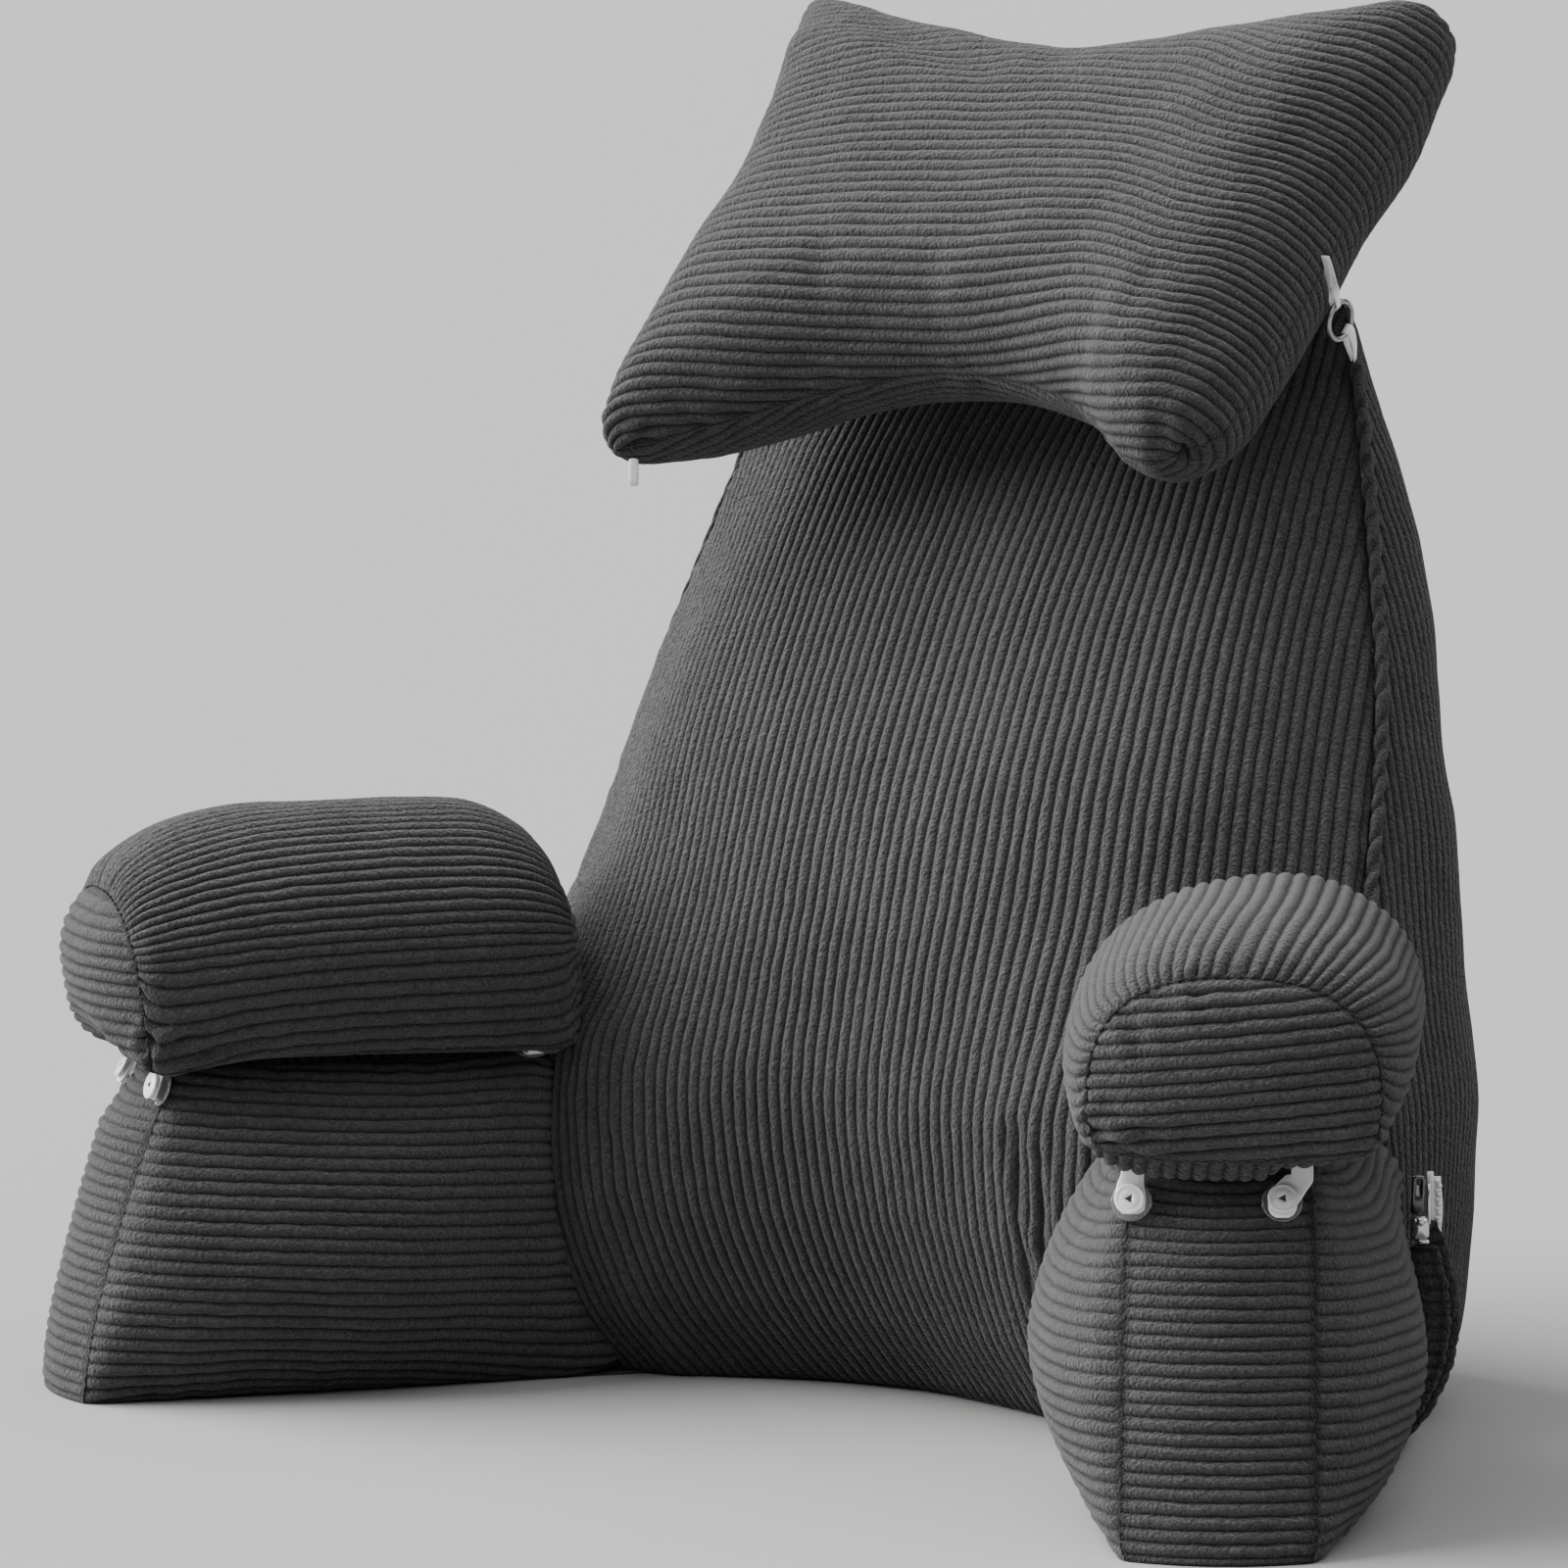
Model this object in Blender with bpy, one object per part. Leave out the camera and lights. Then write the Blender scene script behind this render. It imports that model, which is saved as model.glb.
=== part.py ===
"""Reading pillow: wedge backrest, two splayed arms, two arm bolsters and a neck pillow.

World axes: -Y is the open side between the arms, +X the right arm as seen from there, +Z up.
Every cushion is one closed solid. Lengths are millimetres unless they carry the factor MM.
"""

import math

import bmesh
import bpy
import numpy as np
from mathutils import Vector
from mathutils.bvhtree import BVHTree

MM = 0.001
WELD = 0.00005
CUT_WELD = 0.00003

# Clearances between neighbouring solids
PIECE_GAP = 0.4 * MM
SEWN_GAP = 0.5 * MM

# Backrest, one row per height
BACKREST_COLUMNS = (
    "z", "front_y", "shoulder_y", "seam_x", "seam_y",
    "side_x", "side_y", "back_x", "back_seam_y", "back_y",
)
BACKREST_ROWS = (
    (0, -62, -92, 232, -62, 210, 30, 150, 108, 118),
    (40, -90, -116, 237, -62, 224, 30, 160, 116, 130),
    (90, -108, -124, 236, -58, 229, 30, 162, 118, 136),
    (130, -112, -120, 228, -48, 230, 31, 157, 119, 139),
    (180, -104, -97, 216, -32, 220, 38, 149, 119, 140),
    (225, -90, -74, 206, -14, 212, 45, 142, 118, 139),
    (270, -68, -54, 198, 6, 202, 53, 136, 118, 137),
    (315, -40, -28, 188, 23, 194, 66, 132, 120, 137),
    (368, -4, 6, 171, 42, 176, 77, 128, 118, 132),
    (415, 28, 34, 158, 55, 160, 80, 126, 108, 120),
    (450, 56, 59, 146, 63, 146, 76, 130, 93, 99),
    (462, 72, 74, 136, 76, 137, 80, 130, 86, 90),
)
BACKREST_LEVELS = (
    0, 3, 10, 22, 40, 60, 82, 105, 130, 156, 182, 208, 234, 260,
    286, 312, 338, 364, 388, 410, 428, 442, 452, 459, 462,
)
SHOULDER_AT = 0.62
FRONT_STEPS = 24
SIDE_STEPS = 7
BACK_STEPS = 14
FOOT_INSET = 7.0
FULL_DEPTH = 200.0
SEAM_DRAW = 2.5
SEAM_REACH = 11.0
CURVE_SAMPLES = 40


def clear_scene():
    for obj in list(bpy.data.objects):
        bpy.data.objects.remove(obj, do_unlink=True)


def smooth_curve(keys, values, at):
    """Values at the given places on a curve through the keys that does not overshoot."""
    keys = np.asarray(keys, float)
    values = np.asarray(values, float)
    at = np.clip(np.asarray(at, float), keys[0], keys[-1])
    step = np.diff(keys)
    slope = np.diff(values) / step
    tangent = np.empty(len(keys))
    tangent[0] = slope[0]
    tangent[-1] = slope[-1]
    for i in range(1, len(keys) - 1):
        before = slope[i - 1]
        after = slope[i]
        if before * after <= 0:
            tangent[i] = 0.0
        else:
            tangent[i] = 2 * before * after / (before + after)
    i = np.clip(np.searchsorted(keys, at, side="right") - 1, 0, len(keys) - 2)
    t = (at - keys[i]) / step[i]
    h = step[i]
    return (
        values[i] * (2 * t**3 - 3 * t**2 + 1)
        + tangent[i] * h * (t**3 - 2 * t**2 + t)
        + values[i + 1] * (-2 * t**3 + 3 * t**2)
        + tangent[i + 1] * h * (t**3 - t**2)
    )


def table_at(columns, rows, key, at):
    """Every column of a table at one place along its key column."""
    table = np.array(rows, float)
    keys = table[:, columns.index(key)]
    return {name: float(smooth_curve(keys, table[:, i], at)) for i, name in enumerate(columns)}


def material(name, colour, roughness, metallic=0.0):
    mat = bpy.data.materials.new(name)
    mat.use_nodes = True
    shader = mat.node_tree.nodes["Principled BSDF"]
    shader.inputs["Base Color"].default_value = (*colour, 1.0)
    shader.inputs["Roughness"].default_value = roughness
    shader.inputs["Metallic"].default_value = metallic
    mat.diffuse_color = (*colour, 1.0)
    return mat


def add_object(name, verts, faces, mat):
    """A closed, outward-facing mesh object from points in metres."""
    mesh = bpy.data.meshes.new(name)
    mesh.from_pydata([tuple(v) for v in verts], [], faces)
    bm = bmesh.new()
    bm.from_mesh(mesh)
    bmesh.ops.remove_doubles(bm, verts=bm.verts, dist=WELD)
    bmesh.ops.recalc_face_normals(bm, faces=bm.faces)
    if bm.calc_volume(signed=True) < 0:
        bmesh.ops.reverse_faces(bm, faces=bm.faces)
    bmesh.ops.triangulate(bm, faces=bm.faces)
    bm.to_mesh(mesh)
    bm.free()
    for polygon in mesh.polygons:
        polygon.use_smooth = True
    obj = bpy.data.objects.new(name, mesh)
    bpy.context.collection.objects.link(obj)
    obj.data.materials.append(mat)
    return obj


class Shell:
    """Points and faces of one closed surface put together from grids."""

    def __init__(self):
        self.verts = []
        self.faces = []

    def grid(self, points):
        """Faces over a rows x columns array; a corner cell is split through its corner point."""
        rows, cols = points.shape[:2]
        start = len(self.verts)
        self.verts.extend(points.reshape(-1, 3))
        corners = {(0, 0): 0, (0, cols - 2): 1, (rows - 2, cols - 2): 2, (rows - 2, 0): 3}
        for r in range(rows - 1):
            for c in range(cols - 1):
                a = start + r * cols + c
                cell = (a, a + 1, a + cols + 1, a + cols)
                if (r, c) in corners:
                    first = corners[(r, c)]
                    p, q, s, t = cell[first:] + cell[:first]
                    self.faces.append((p, q, s))
                    self.faces.append((p, s, t))
                else:
                    self.faces.append(cell)

    def face(self, points):
        """One flat face with many sides."""
        start = len(self.verts)
        self.verts.extend(points)
        self.faces.append(tuple(range(start, start + len(points))))


def seam_dip(distance):
    """Depth to which the cloth is drawn in at this distance from a seam, in mm."""
    return SEAM_DRAW * np.exp(-((distance / SEAM_REACH) ** 2))


def through(points, steps):
    """A curve through a few x, y points, sampled evenly along its length."""
    points = np.asarray(points, float)
    reach = np.concatenate([[0], np.cumsum(np.linalg.norm(np.diff(points, axis=0), axis=1))])
    fine = np.linspace(0, reach[-1], CURVE_SAMPLES)
    padded = np.vstack([2 * points[0] - points[1], points, 2 * points[-1] - points[-2]])
    out = []
    for s in fine:
        i = min(max(int(np.searchsorted(reach, s, side="right")) - 1, 0), len(points) - 2)
        t = (s - reach[i]) / (reach[i + 1] - reach[i])
        p0, p1, p2, p3 = padded[i : i + 4]
        out.append(
            0.5
            * (
                2 * p1
                + (p2 - p0) * t
                + (2 * p0 - 5 * p1 + 4 * p2 - p3) * t**2
                + (3 * p1 - p0 - 3 * p2 + p3) * t**3
            )
        )
    out = np.array(out)
    run = np.concatenate([[0], np.cumsum(np.linalg.norm(np.diff(out, axis=0), axis=1))])
    even = np.linspace(0, run[-1], steps + 1)
    return np.stack([np.interp(even, run, out[:, 0]), np.interp(even, run, out[:, 1])], axis=1)


def backrest_section(z):
    """Closed section of the backrest at one height, in mm, with its seams drawn in."""
    row = table_at(BACKREST_COLUMNS, BACKREST_ROWS, "z", z)
    seam = (row["seam_x"], row["seam_y"])
    shoulder = (row["seam_x"] * SHOULDER_AT, row["shoulder_y"])
    back_seam = (row["back_x"], row["back_seam_y"])
    side = (row["side_x"], row["side_y"])
    mirror = np.array([-1, 1])
    front = through(
        [mirror * seam, mirror * shoulder, (0, row["front_y"]), shoulder, seam], FRONT_STEPS
    )
    right = through([seam, side, back_seam], SIDE_STEPS)
    back = through(
        [back_seam, (0, row["back_y"]), mirror * back_seam], BACK_STEPS
    )
    left = right[::-1] * mirror
    section = np.vstack([front[:-1], right[:-1], back[:-1], left[:-1]])
    centre = np.array([0.0, (row["front_y"] + row["back_y"]) / 2])
    seams = np.array([front[0], front[-1], back[0], back[-1]])
    depth = (row["back_y"] - row["front_y"]) / FULL_DEPTH
    out = []
    for point in section:
        near = np.min(np.linalg.norm(seams - point, axis=1))
        inward = centre - point
        inward /= np.linalg.norm(inward)
        out.append(point + inward * seam_dip(near) * min(depth, 1.0))
    out = np.array(out)
    if z < FOOT_INSET:
        inset = FOOT_INSET * (1 - math.sqrt(1 - (1 - z / FOOT_INSET) ** 2))
        away = out - centre
        out = out - away / np.linalg.norm(away, axis=1)[:, None] * inset
    return np.column_stack([out, np.full(len(out), z)])


def build_backrest(mat):
    sections = np.array([backrest_section(z) for z in BACKREST_LEVELS]) * MM
    closed = np.concatenate([sections, sections[:, :1]], axis=1)
    shell = Shell()
    shell.grid(closed)
    shell.face(sections[0][::-1])
    shell.face(sections[-1])
    return add_object("backrest", shell.verts, shell.faces, mat)


# Arms, columns side, foot_x, foot_y, splay: the foot of the front strip's centre line and
# the angle in degrees by which the arm turns out from straight ahead
ARM_ROWS = (
    (1, 298.5, -286.5, 32.0),
    (-1, -300.0, -268.0, 38.0),
)
ARM_FLARE = 44.0
ARM_FLARE_LESS_AT_TOP = 0.6
ARM_HALF_STRIP = 38.0
ARM_HALF_FOOT = 40.0
ARM_HEIGHT = 143.0
ARM_LEAN = 42.0
ARM_LEAN_POWER = 1.15
ARM_LENGTH = 300.0
ARM_BULGE = 36.0
ARM_BULGE_RUN = 0.42
ARM_BULGE_POWERS = (2.4, 0.62)
ARM_SWELL_POWERS = (0.92, 0.8)
ARM_JOIN_FROM = 0.40
ARM_JOIN_TO = 0.74
ARM_JOIN_DRAW = 0.72
ARM_STRIP_CROWN = 14.0
ARM_FOOT_CROWN = 8.0
ARM_TOP_CROWN = 7.2
ARM_TOP_CROWN_RATE = 1.2
ARM_STRIP_FADE = 5.0
ARM_RUN_STEPS = 14
ARM_RUN_POWER = 1.6
ARM_STRIP_STEPS = 6
ARM_RISE_STEPS = 12
ARM_RISE_EASE = 0.12


def arm_axes(row):
    """Foot point, backward axis and outward axis of one arm, as x, y, z in mm."""
    side, foot_x, foot_y, splay = row
    angle = math.radians(splay)
    foot = np.array([foot_x, foot_y, 0.0])
    along = np.array([-side * math.sin(angle), math.cos(angle), 0.0])
    out = np.array([side * math.cos(angle), math.sin(angle), 0.0])
    return foot, along, out


def arm_fullness(run):
    """How far the side panels have filled out at this share of the arm's length."""
    share = np.clip(run / ARM_BULGE_RUN, 0, 1)
    return (1 - (1 - share) ** ARM_BULGE_POWERS[0]) ** ARM_BULGE_POWERS[1]


def arm_join_draw(run):
    """Share of its bulge that the inner panel keeps toward the backrest."""
    share = np.clip((run - ARM_JOIN_FROM) / (ARM_JOIN_TO - ARM_JOIN_FROM), 0, 1)
    return 1 - ARM_JOIN_DRAW * share**2 * (3 - 2 * share)


def arm_swell(rise):
    """Side panel profile from the foot seam (0) to the top seam (1)."""
    return np.sin(np.pi * np.clip(rise, 0, 1) ** ARM_SWELL_POWERS[0]) ** ARM_SWELL_POWERS[1]


def arm_ring(run):
    """Closed section of an arm in its own axes (along, out, up), in mm."""
    full = arm_fullness(run)
    turn = np.linspace(ARM_RISE_EASE, 1 - ARM_RISE_EASE, ARM_RISE_STEPS + 1) * math.pi
    share = 0.5 - 0.5 * np.cos(turn) / math.cos(ARM_RISE_EASE * math.pi)
    z_side = ARM_HEIGHT * share
    half = ARM_HALF_FOOT + (ARM_HALF_STRIP - ARM_HALF_FOOT) * share
    swell = ARM_BULGE * full * arm_swell(share)
    b_inner = half + swell * arm_join_draw(run)
    b_outer = half + swell + ARM_FLARE * run * (1 - ARM_FLARE_LESS_AT_TOP * share)
    foot_outer = ARM_HALF_FOOT + ARM_FLARE * run
    top_outer = b_outer[-1]
    top = np.linspace(1, -1, ARM_STRIP_STEPS + 1)
    b_top = 0.5 * (top_outer - ARM_HALF_STRIP) + top * 0.5 * (top_outer + ARM_HALF_STRIP)
    z_top = ARM_HEIGHT + ARM_TOP_CROWN * min(full * ARM_TOP_CROWN_RATE, 1) * (1 - top**2)
    foot = np.linspace(-1, 1, ARM_STRIP_STEPS + 1)
    b_foot = 0.5 * (foot_outer - ARM_HALF_FOOT) + foot * 0.5 * (foot_outer + ARM_HALF_FOOT)
    b = np.concatenate([b_outer[:-1], b_top[:-1], -b_inner[::-1][:-1], b_foot[:-1]])
    z = np.concatenate([z_side[:-1], z_top[:-1], z_side[::-1][:-1], np.zeros(ARM_STRIP_STEPS)])
    front = ARM_LEAN * (z / ARM_HEIGHT) ** ARM_LEAN_POWER
    a = front + run * (ARM_LENGTH - front)
    a[2 * ARM_RISE_STEPS + ARM_STRIP_STEPS :] -= ARM_FOOT_CROWN * (1 - foot[:-1] ** 2) * (1 - run)
    return np.column_stack([a, b, z])


def arm_strip():
    """Crowned front strip of an arm as a grid from the foot (row 0) to the top."""
    ring = arm_ring(0.0)
    rise = ARM_RISE_STEPS
    strip = ARM_STRIP_STEPS
    outer = ring[: rise + 1]
    inner = ring[rise + strip : 2 * rise + strip + 1][::-1]
    grid = []
    for r in range(rise + 1):
        share = np.linspace(0, 1, strip + 1)[:, None]
        line = outer[r] * (1 - share) + inner[r] * share
        height = outer[r][2] / ARM_HEIGHT
        across = 4 * share[:, 0] * (1 - share[:, 0])
        full = min(1.0, ARM_STRIP_FADE * (1 - height))
        crown = (ARM_FOOT_CROWN * (1 - height) + ARM_STRIP_CROWN * height) * across * full
        line[:, 0] -= crown
        grid.append(line)
    return np.array(grid)


def to_world(points, axes):
    foot, along, out = axes
    up = np.array([0.0, 0.0, 1.0])
    flat = points.reshape(-1, 3)
    world = foot + flat[:, :1] * along + flat[:, 1:2] * out + flat[:, 2:] * up
    return world.reshape(points.shape) * MM


def build_arm(name, row, mat):
    axes = arm_axes(row)
    runs = np.linspace(0, 1, ARM_RUN_STEPS + 1) ** ARM_RUN_POWER
    rings = np.array([arm_ring(run) for run in runs])
    closed = np.concatenate([rings, rings[:, :1]], axis=1)
    shell = Shell()
    shell.grid(to_world(closed, axes))
    shell.grid(to_world(arm_strip(), axes))
    shell.face(to_world(rings[-1], axes))
    return add_object(name, shell.verts, shell.faces, mat)


def grown_copy(obj, distance):
    """A cutter: the same surface moved outward by a distance."""
    cutter = bpy.data.objects.new(obj.name + "_cutter", obj.data.copy())
    bpy.context.collection.objects.link(cutter)
    for vertex in cutter.data.vertices:
        vertex.co = vertex.co + vertex.normal * distance
    cutter.hide_render = True
    cutter.display_type = "WIRE"
    return cutter


def cut_away(obj, cutter):
    """Take the cutter's space out of an object."""
    cut = obj.modifiers.new("cut", "BOOLEAN")
    cut.operation = "DIFFERENCE"
    cut.solver = "EXACT"
    cut.object = cutter
    graph = bpy.context.evaluated_depsgraph_get()
    mesh = bpy.data.meshes.new_from_object(obj.evaluated_get(graph))
    obj.modifiers.clear()
    bm = bmesh.new()
    bm.from_mesh(mesh)
    bmesh.ops.remove_doubles(bm, verts=bm.verts, dist=CUT_WELD)
    bmesh.ops.dissolve_degenerate(bm, dist=CUT_WELD, edges=bm.edges)
    bmesh.ops.triangulate(bm, faces=bm.faces)
    bm.to_mesh(mesh)
    bm.free()
    obj.data = mesh
    for polygon in mesh.polygons:
        polygon.use_smooth = True


# Bolsters, in the arm's axes: where each starts, its size and how its ends draw in
BOLSTER_START = 14.0
BOLSTER_LENGTH = 200.0
BOLSTER_FLOOR = 150.8
BOLSTER_PIVOT = 110.0
# One row a side: degrees turned in, shift outward, outward shear of the stuffing, extra height
BOLSTER_SIDE_COLUMNS = ("turn", "shift", "shear", "crest_rise")
BOLSTER_SIDES = {
    "right": (3.0, 10.0, 0.12, 0.0),
    "left": (0.0, 0.0, 0.0, 4.5),
}
BOLSTER_COLUMNS = (
    "full", "half_width", "seam_half", "seam_z", "widest_z", "crest_z", "arch_power",
)
BOLSTER_ROWS = (
    (0.0, 58.0, 56.0, 157.0, 180.0, 222.0, 0.82),
    (1.0, 70.0, 57.0, 157.0, 193.0, 247.5, 1.0),
)
BOLSTER_FRONT_FILL = 0.46
BOLSTER_REAR_FILL = 0.28
BOLSTER_FILL_POWERS = (2.3, 0.6)
BOLSTER_UNDER_POWER = 3
BOLSTER_UNDER_AT_ENDS = 0.35
BOLSTER_END_CROWN = 11.0
BOLSTER_CAP_POWERS = (2.2, 0.8)
BOLSTER_RUN_STEPS = 20
BOLSTER_ARCH_STEPS = 22
BOLSTER_UNDER_STEPS = 8
BOLSTER_CAP_RINGS = 4


def bolster_side(side_name, column):
    return BOLSTER_SIDES[side_name][BOLSTER_SIDE_COLUMNS.index(column)]


def bolster_axes(row, side_name):
    """An arm's axes turned about a point on its middle line."""
    foot, along, _ = arm_axes(row)
    pivot = foot + along * BOLSTER_PIVOT
    side, _, _, splay = row
    _, ahead, out = arm_axes((side, 0.0, 0.0, splay - bolster_side(side_name, "turn")))
    return pivot + out * bolster_side(side_name, "shift") - ahead * BOLSTER_PIVOT, ahead, out


def bolster_fullness(run):
    """0 at an end seam, 1 along the middle."""
    share = np.clip(min(run / BOLSTER_FRONT_FILL, (1 - run) / BOLSTER_REAR_FILL), 0, 1)
    return float((1 - (1 - share) ** BOLSTER_FILL_POWERS[0]) ** BOLSTER_FILL_POWERS[1])


def bolster_ring(run, side_name):
    """Closed D-shaped section of a bolster in the arm's axes, in mm."""
    full = bolster_fullness(run)
    row = table_at(BOLSTER_COLUMNS, BOLSTER_ROWS, "full", full)
    row["crest_z"] += bolster_side(side_name, "crest_rise") * full
    below = math.acos(row["seam_half"] / row["half_width"])
    under_depth = (row["widest_z"] - row["seam_z"]) / math.sin(below)
    turn = np.linspace(-below, math.pi + below, BOLSTER_ARCH_STEPS + 1)
    rise = np.where(np.sin(turn) > 0, row["crest_z"] - row["widest_z"], under_depth)
    top = np.sin(turn) > 0
    cos_turn = np.cos(turn)
    sin_turn = np.sin(turn)
    arch_b = np.sign(cos_turn) * np.abs(cos_turn) ** row["arch_power"]
    arch_z = np.abs(sin_turn) ** row["arch_power"]
    b_arch = row["half_width"] * np.where(top, arch_b, cos_turn)
    z_arch = row["widest_z"] + rise * np.where(top, arch_z, sin_turn)
    under = np.linspace(-1, 1, BOLSTER_UNDER_STEPS + 1)
    b_under = under * row["seam_half"]
    sag = (row["seam_z"] - BOLSTER_FLOOR) * (1 - np.abs(under) ** BOLSTER_UNDER_POWER)
    z_under = row["seam_z"] - sag * min(1.0, BOLSTER_UNDER_AT_ENDS + full)
    b = np.concatenate([b_arch[:-1], b_under[:-1]])
    z = np.concatenate([z_arch[:-1], z_under[:-1]])
    b += bolster_side(side_name, "shear") * full * (z - row["widest_z"])
    a = np.full(len(b), BOLSTER_START + run * BOLSTER_LENGTH)
    return np.column_stack([a, b, z])


def bolster_cap(ring, outward):
    """Rings that close an end with a crowned panel."""
    centre = ring.mean(axis=0)
    rings = []
    for i in range(1, BOLSTER_CAP_RINGS + 1):
        share = 1 - i / (BOLSTER_CAP_RINGS + 1)
        inner = centre + (ring - centre) * share
        crown = (1 - share ** BOLSTER_CAP_POWERS[0]) ** BOLSTER_CAP_POWERS[1]
        inner[:, 0] += outward * BOLSTER_END_CROWN * crown
        rings.append(inner)
    return rings


def build_bolster(side_name, axes, mat):
    share = np.linspace(0, 1, BOLSTER_RUN_STEPS + 1)
    runs = 0.5 - 0.5 * np.cos(np.pi * share)
    rings = [bolster_ring(run, side_name) for run in runs]
    front = bolster_cap(rings[0], -1)[::-1]
    rear = bolster_cap(rings[-1], 1)
    rings = np.array(front + rings + rear)
    closed = np.concatenate([rings, rings[:, :1]], axis=1)
    shell = Shell()
    shell.grid(to_world(closed, axes))
    shell.face(to_world(rings[0], axes))
    shell.face(to_world(rings[-1], axes))
    return add_object("bolster_" + side_name, shell.verts, shell.faces, mat)


# Neck pillow: centre, tilt back from upright, and outline of its flat panel
NECK_CENTRE_Y = 20.0
NECK_CENTRE_Z = 497.0
NECK_TILT = 45.0
NECK_TOP_HALF = 185.0
NECK_FOOT_HALF = 167.0
NECK_HALF_HEIGHT = 154.0
NECK_TOP_DIP = 57.0
NECK_FOOT_RISE = 64.0
NECK_LEFT_WAIST = 33.0
NECK_RIGHT_WAIST = 11.0
NECK_THICK = 100.0
NECK_PINCH_POWER = 1.7
NECK_END_POWERS = (5.0, 0.5)
NECK_EDGE_POWERS = (3.4, 0.55)
NECK_CORNER_CUT = 0.115
NECK_CORNER_POWER = 4.0
NECK_U_STEPS = 26
NECK_V_STEPS = 18


def neck_outline(u, v):
    """Place on the pillow's middle plane (across, up) for u and v from -1 to 1, in mm."""
    half = NECK_FOOT_HALF + (NECK_TOP_HALF - NECK_FOOT_HALF) * (v + 1) / 2
    pinch = 1 - np.abs(u) ** NECK_PINCH_POWER
    top = NECK_HALF_HEIGHT - NECK_TOP_DIP * pinch
    foot = -NECK_HALF_HEIGHT + NECK_FOOT_RISE * pinch
    corner = NECK_CORNER_CUT * np.abs(u * v) ** NECK_CORNER_POWER
    waist = np.where(u < 0, NECK_LEFT_WAIST, NECK_RIGHT_WAIST)
    across = u * (half - waist * (1 - v**2) * np.abs(u)) * (1 - corner)
    up = 0.5 * (foot + top) + v * 0.5 * (top - foot) * (1 - corner)
    return across, up


def neck_half_thickness(u, v):
    """Half thickness of the filled pillow, nil along its seam."""
    ends = np.clip(1 - np.abs(u) ** NECK_END_POWERS[0], 0, 1) ** NECK_END_POWERS[1]
    edges = np.clip(1 - np.abs(v) ** NECK_EDGE_POWERS[0], 0, 1) ** NECK_EDGE_POWERS[1]
    return 0.5 * NECK_THICK * ends * edges


def neck_to_world(across, up, forward):
    tilt = math.radians(NECK_TILT)
    x = across
    y = NECK_CENTRE_Y + up * math.sin(tilt) - forward * math.cos(tilt)
    z = NECK_CENTRE_Z + up * math.cos(tilt) + forward * math.sin(tilt)
    return np.stack([x, y, z], axis=-1)


def neck_point(u, v, side):
    """A point on the front (+1) or back (-1) panel in world mm."""
    across, up = neck_outline(u, v)
    return neck_to_world(across, up, side * neck_half_thickness(u, v))


def crowded(steps):
    """Places from -1 to 1, drawn together toward both ends."""
    return np.sin(np.linspace(-1, 1, steps + 1) * math.pi / 2)


def build_neck(mat, rest_on):
    u_grid, v_grid = np.meshgrid(crowded(NECK_U_STEPS), crowded(NECK_V_STEPS))
    shell = Shell()
    shell.grid(neck_point(u_grid, v_grid, 1) * MM)
    shell.grid(neck_point(u_grid, v_grid, -1) * MM)
    pillow = add_object("neck_pillow", shell.verts, shell.faces, mat)
    lift_off(pillow, rest_on, NECK_REST_GAP)
    return pillow


# Fittings
NECK_REST_GAP = 0.8 * MM
BOLSTER_REST_GAP = 1.0 * MM
TAPE_THICK = 0.9
TAPE_CLEAR = 0.7 * MM
SNAP_Z = 134.0
SNAP_BASE_RADIUS = 8.0
SNAP_BASE_THICK = 1.4
SNAP_BASE_DOME = 0.4
SNAP_CAP_RADIUS = 6.5
SNAP_CAP_THICK = 2.4
SNAP_CAP_DOME = 1.1
REAR_BASE_THICK = 1.1
REAR_CAP_RADIUS = 5.5
REAR_CAP_THICK = 1.6
REAR_CAP_DOME = 0.5
SNAP_SIDES = 20
SNAP_GAP = 0.6 * MM
SEAT_ROUNDS = 6
CAST_REACH = 0.2
# Front tabs, columns name, snap_out, top_shift; rear tabs, columns name, snap_out
FRONT_TABS = (("front_inner", -34.0, 0.0), ("front_outer", 24.0, 8.0))
REAR_TABS = (("rear_inner", -35.0), ("rear_outer", 45.0))
REAR_TAB_ALONG = 200.0
# Front tape, from its hidden top end down: height, how far in under the bolster, half width.
# Rows above the arm's edge lie up against the bolster instead of at their height.
FRONT_TAPE_EDGE_Z = 142.0
FRONT_TAPE_FREE = 2.0
FRONT_TAPE_SNAP_ROW = 6
FRONT_TAPE_ROOF_GAP = 0.9
FRONT_TAPE_ROWS = (
    (148.7, 17.0, 4.0),
    (148.5, 8.0, 4.0),
    (147.2, 1.0, 4.2),
    (143.6, -0.6, 4.5),
    (140.0, 0.0, 5.2),
    (137.0, 0.0, 5.8),
    (134.0, 0.0, 6.0),
    (131.0, 0.0, 5.6),
    (129.0, 0.0, 4.4),
    (127.8, 0.0, 2.6),
)
# Rear tape, from the bolster's seam inward: reach out from the snap, rise over it, half width
REAR_TAPE_ROWS = (
    (17.0, 9.2, 3.4),
    (15.0, 7.0, 3.5),
    (12.5, 3.6, 3.8),
    (10.0, 0.9, 4.4),
    (7.0, 0.0, 5.0),
    (0.0, 0.0, 5.4),
    (-4.0, 0.0, 4.6),
    (-6.0, 0.0, 2.8),
)


def tree_of(obj):
    bm = bmesh.new()
    bm.from_mesh(obj.data)
    tree = BVHTree.FromBMesh(bm)
    bm.free()
    return tree


def lift_off(obj, support, clearance):
    """Press a soft piece against the surface it rests on, leaving a small clearance."""
    tree = tree_of(support)
    for vertex in obj.data.vertices:
        near, normal, _, distance = tree.find_nearest(vertex.co)
        inside = (vertex.co - near).dot(normal) < 0
        if inside or distance < clearance:
            vertex.co = near + normal * clearance


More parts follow.
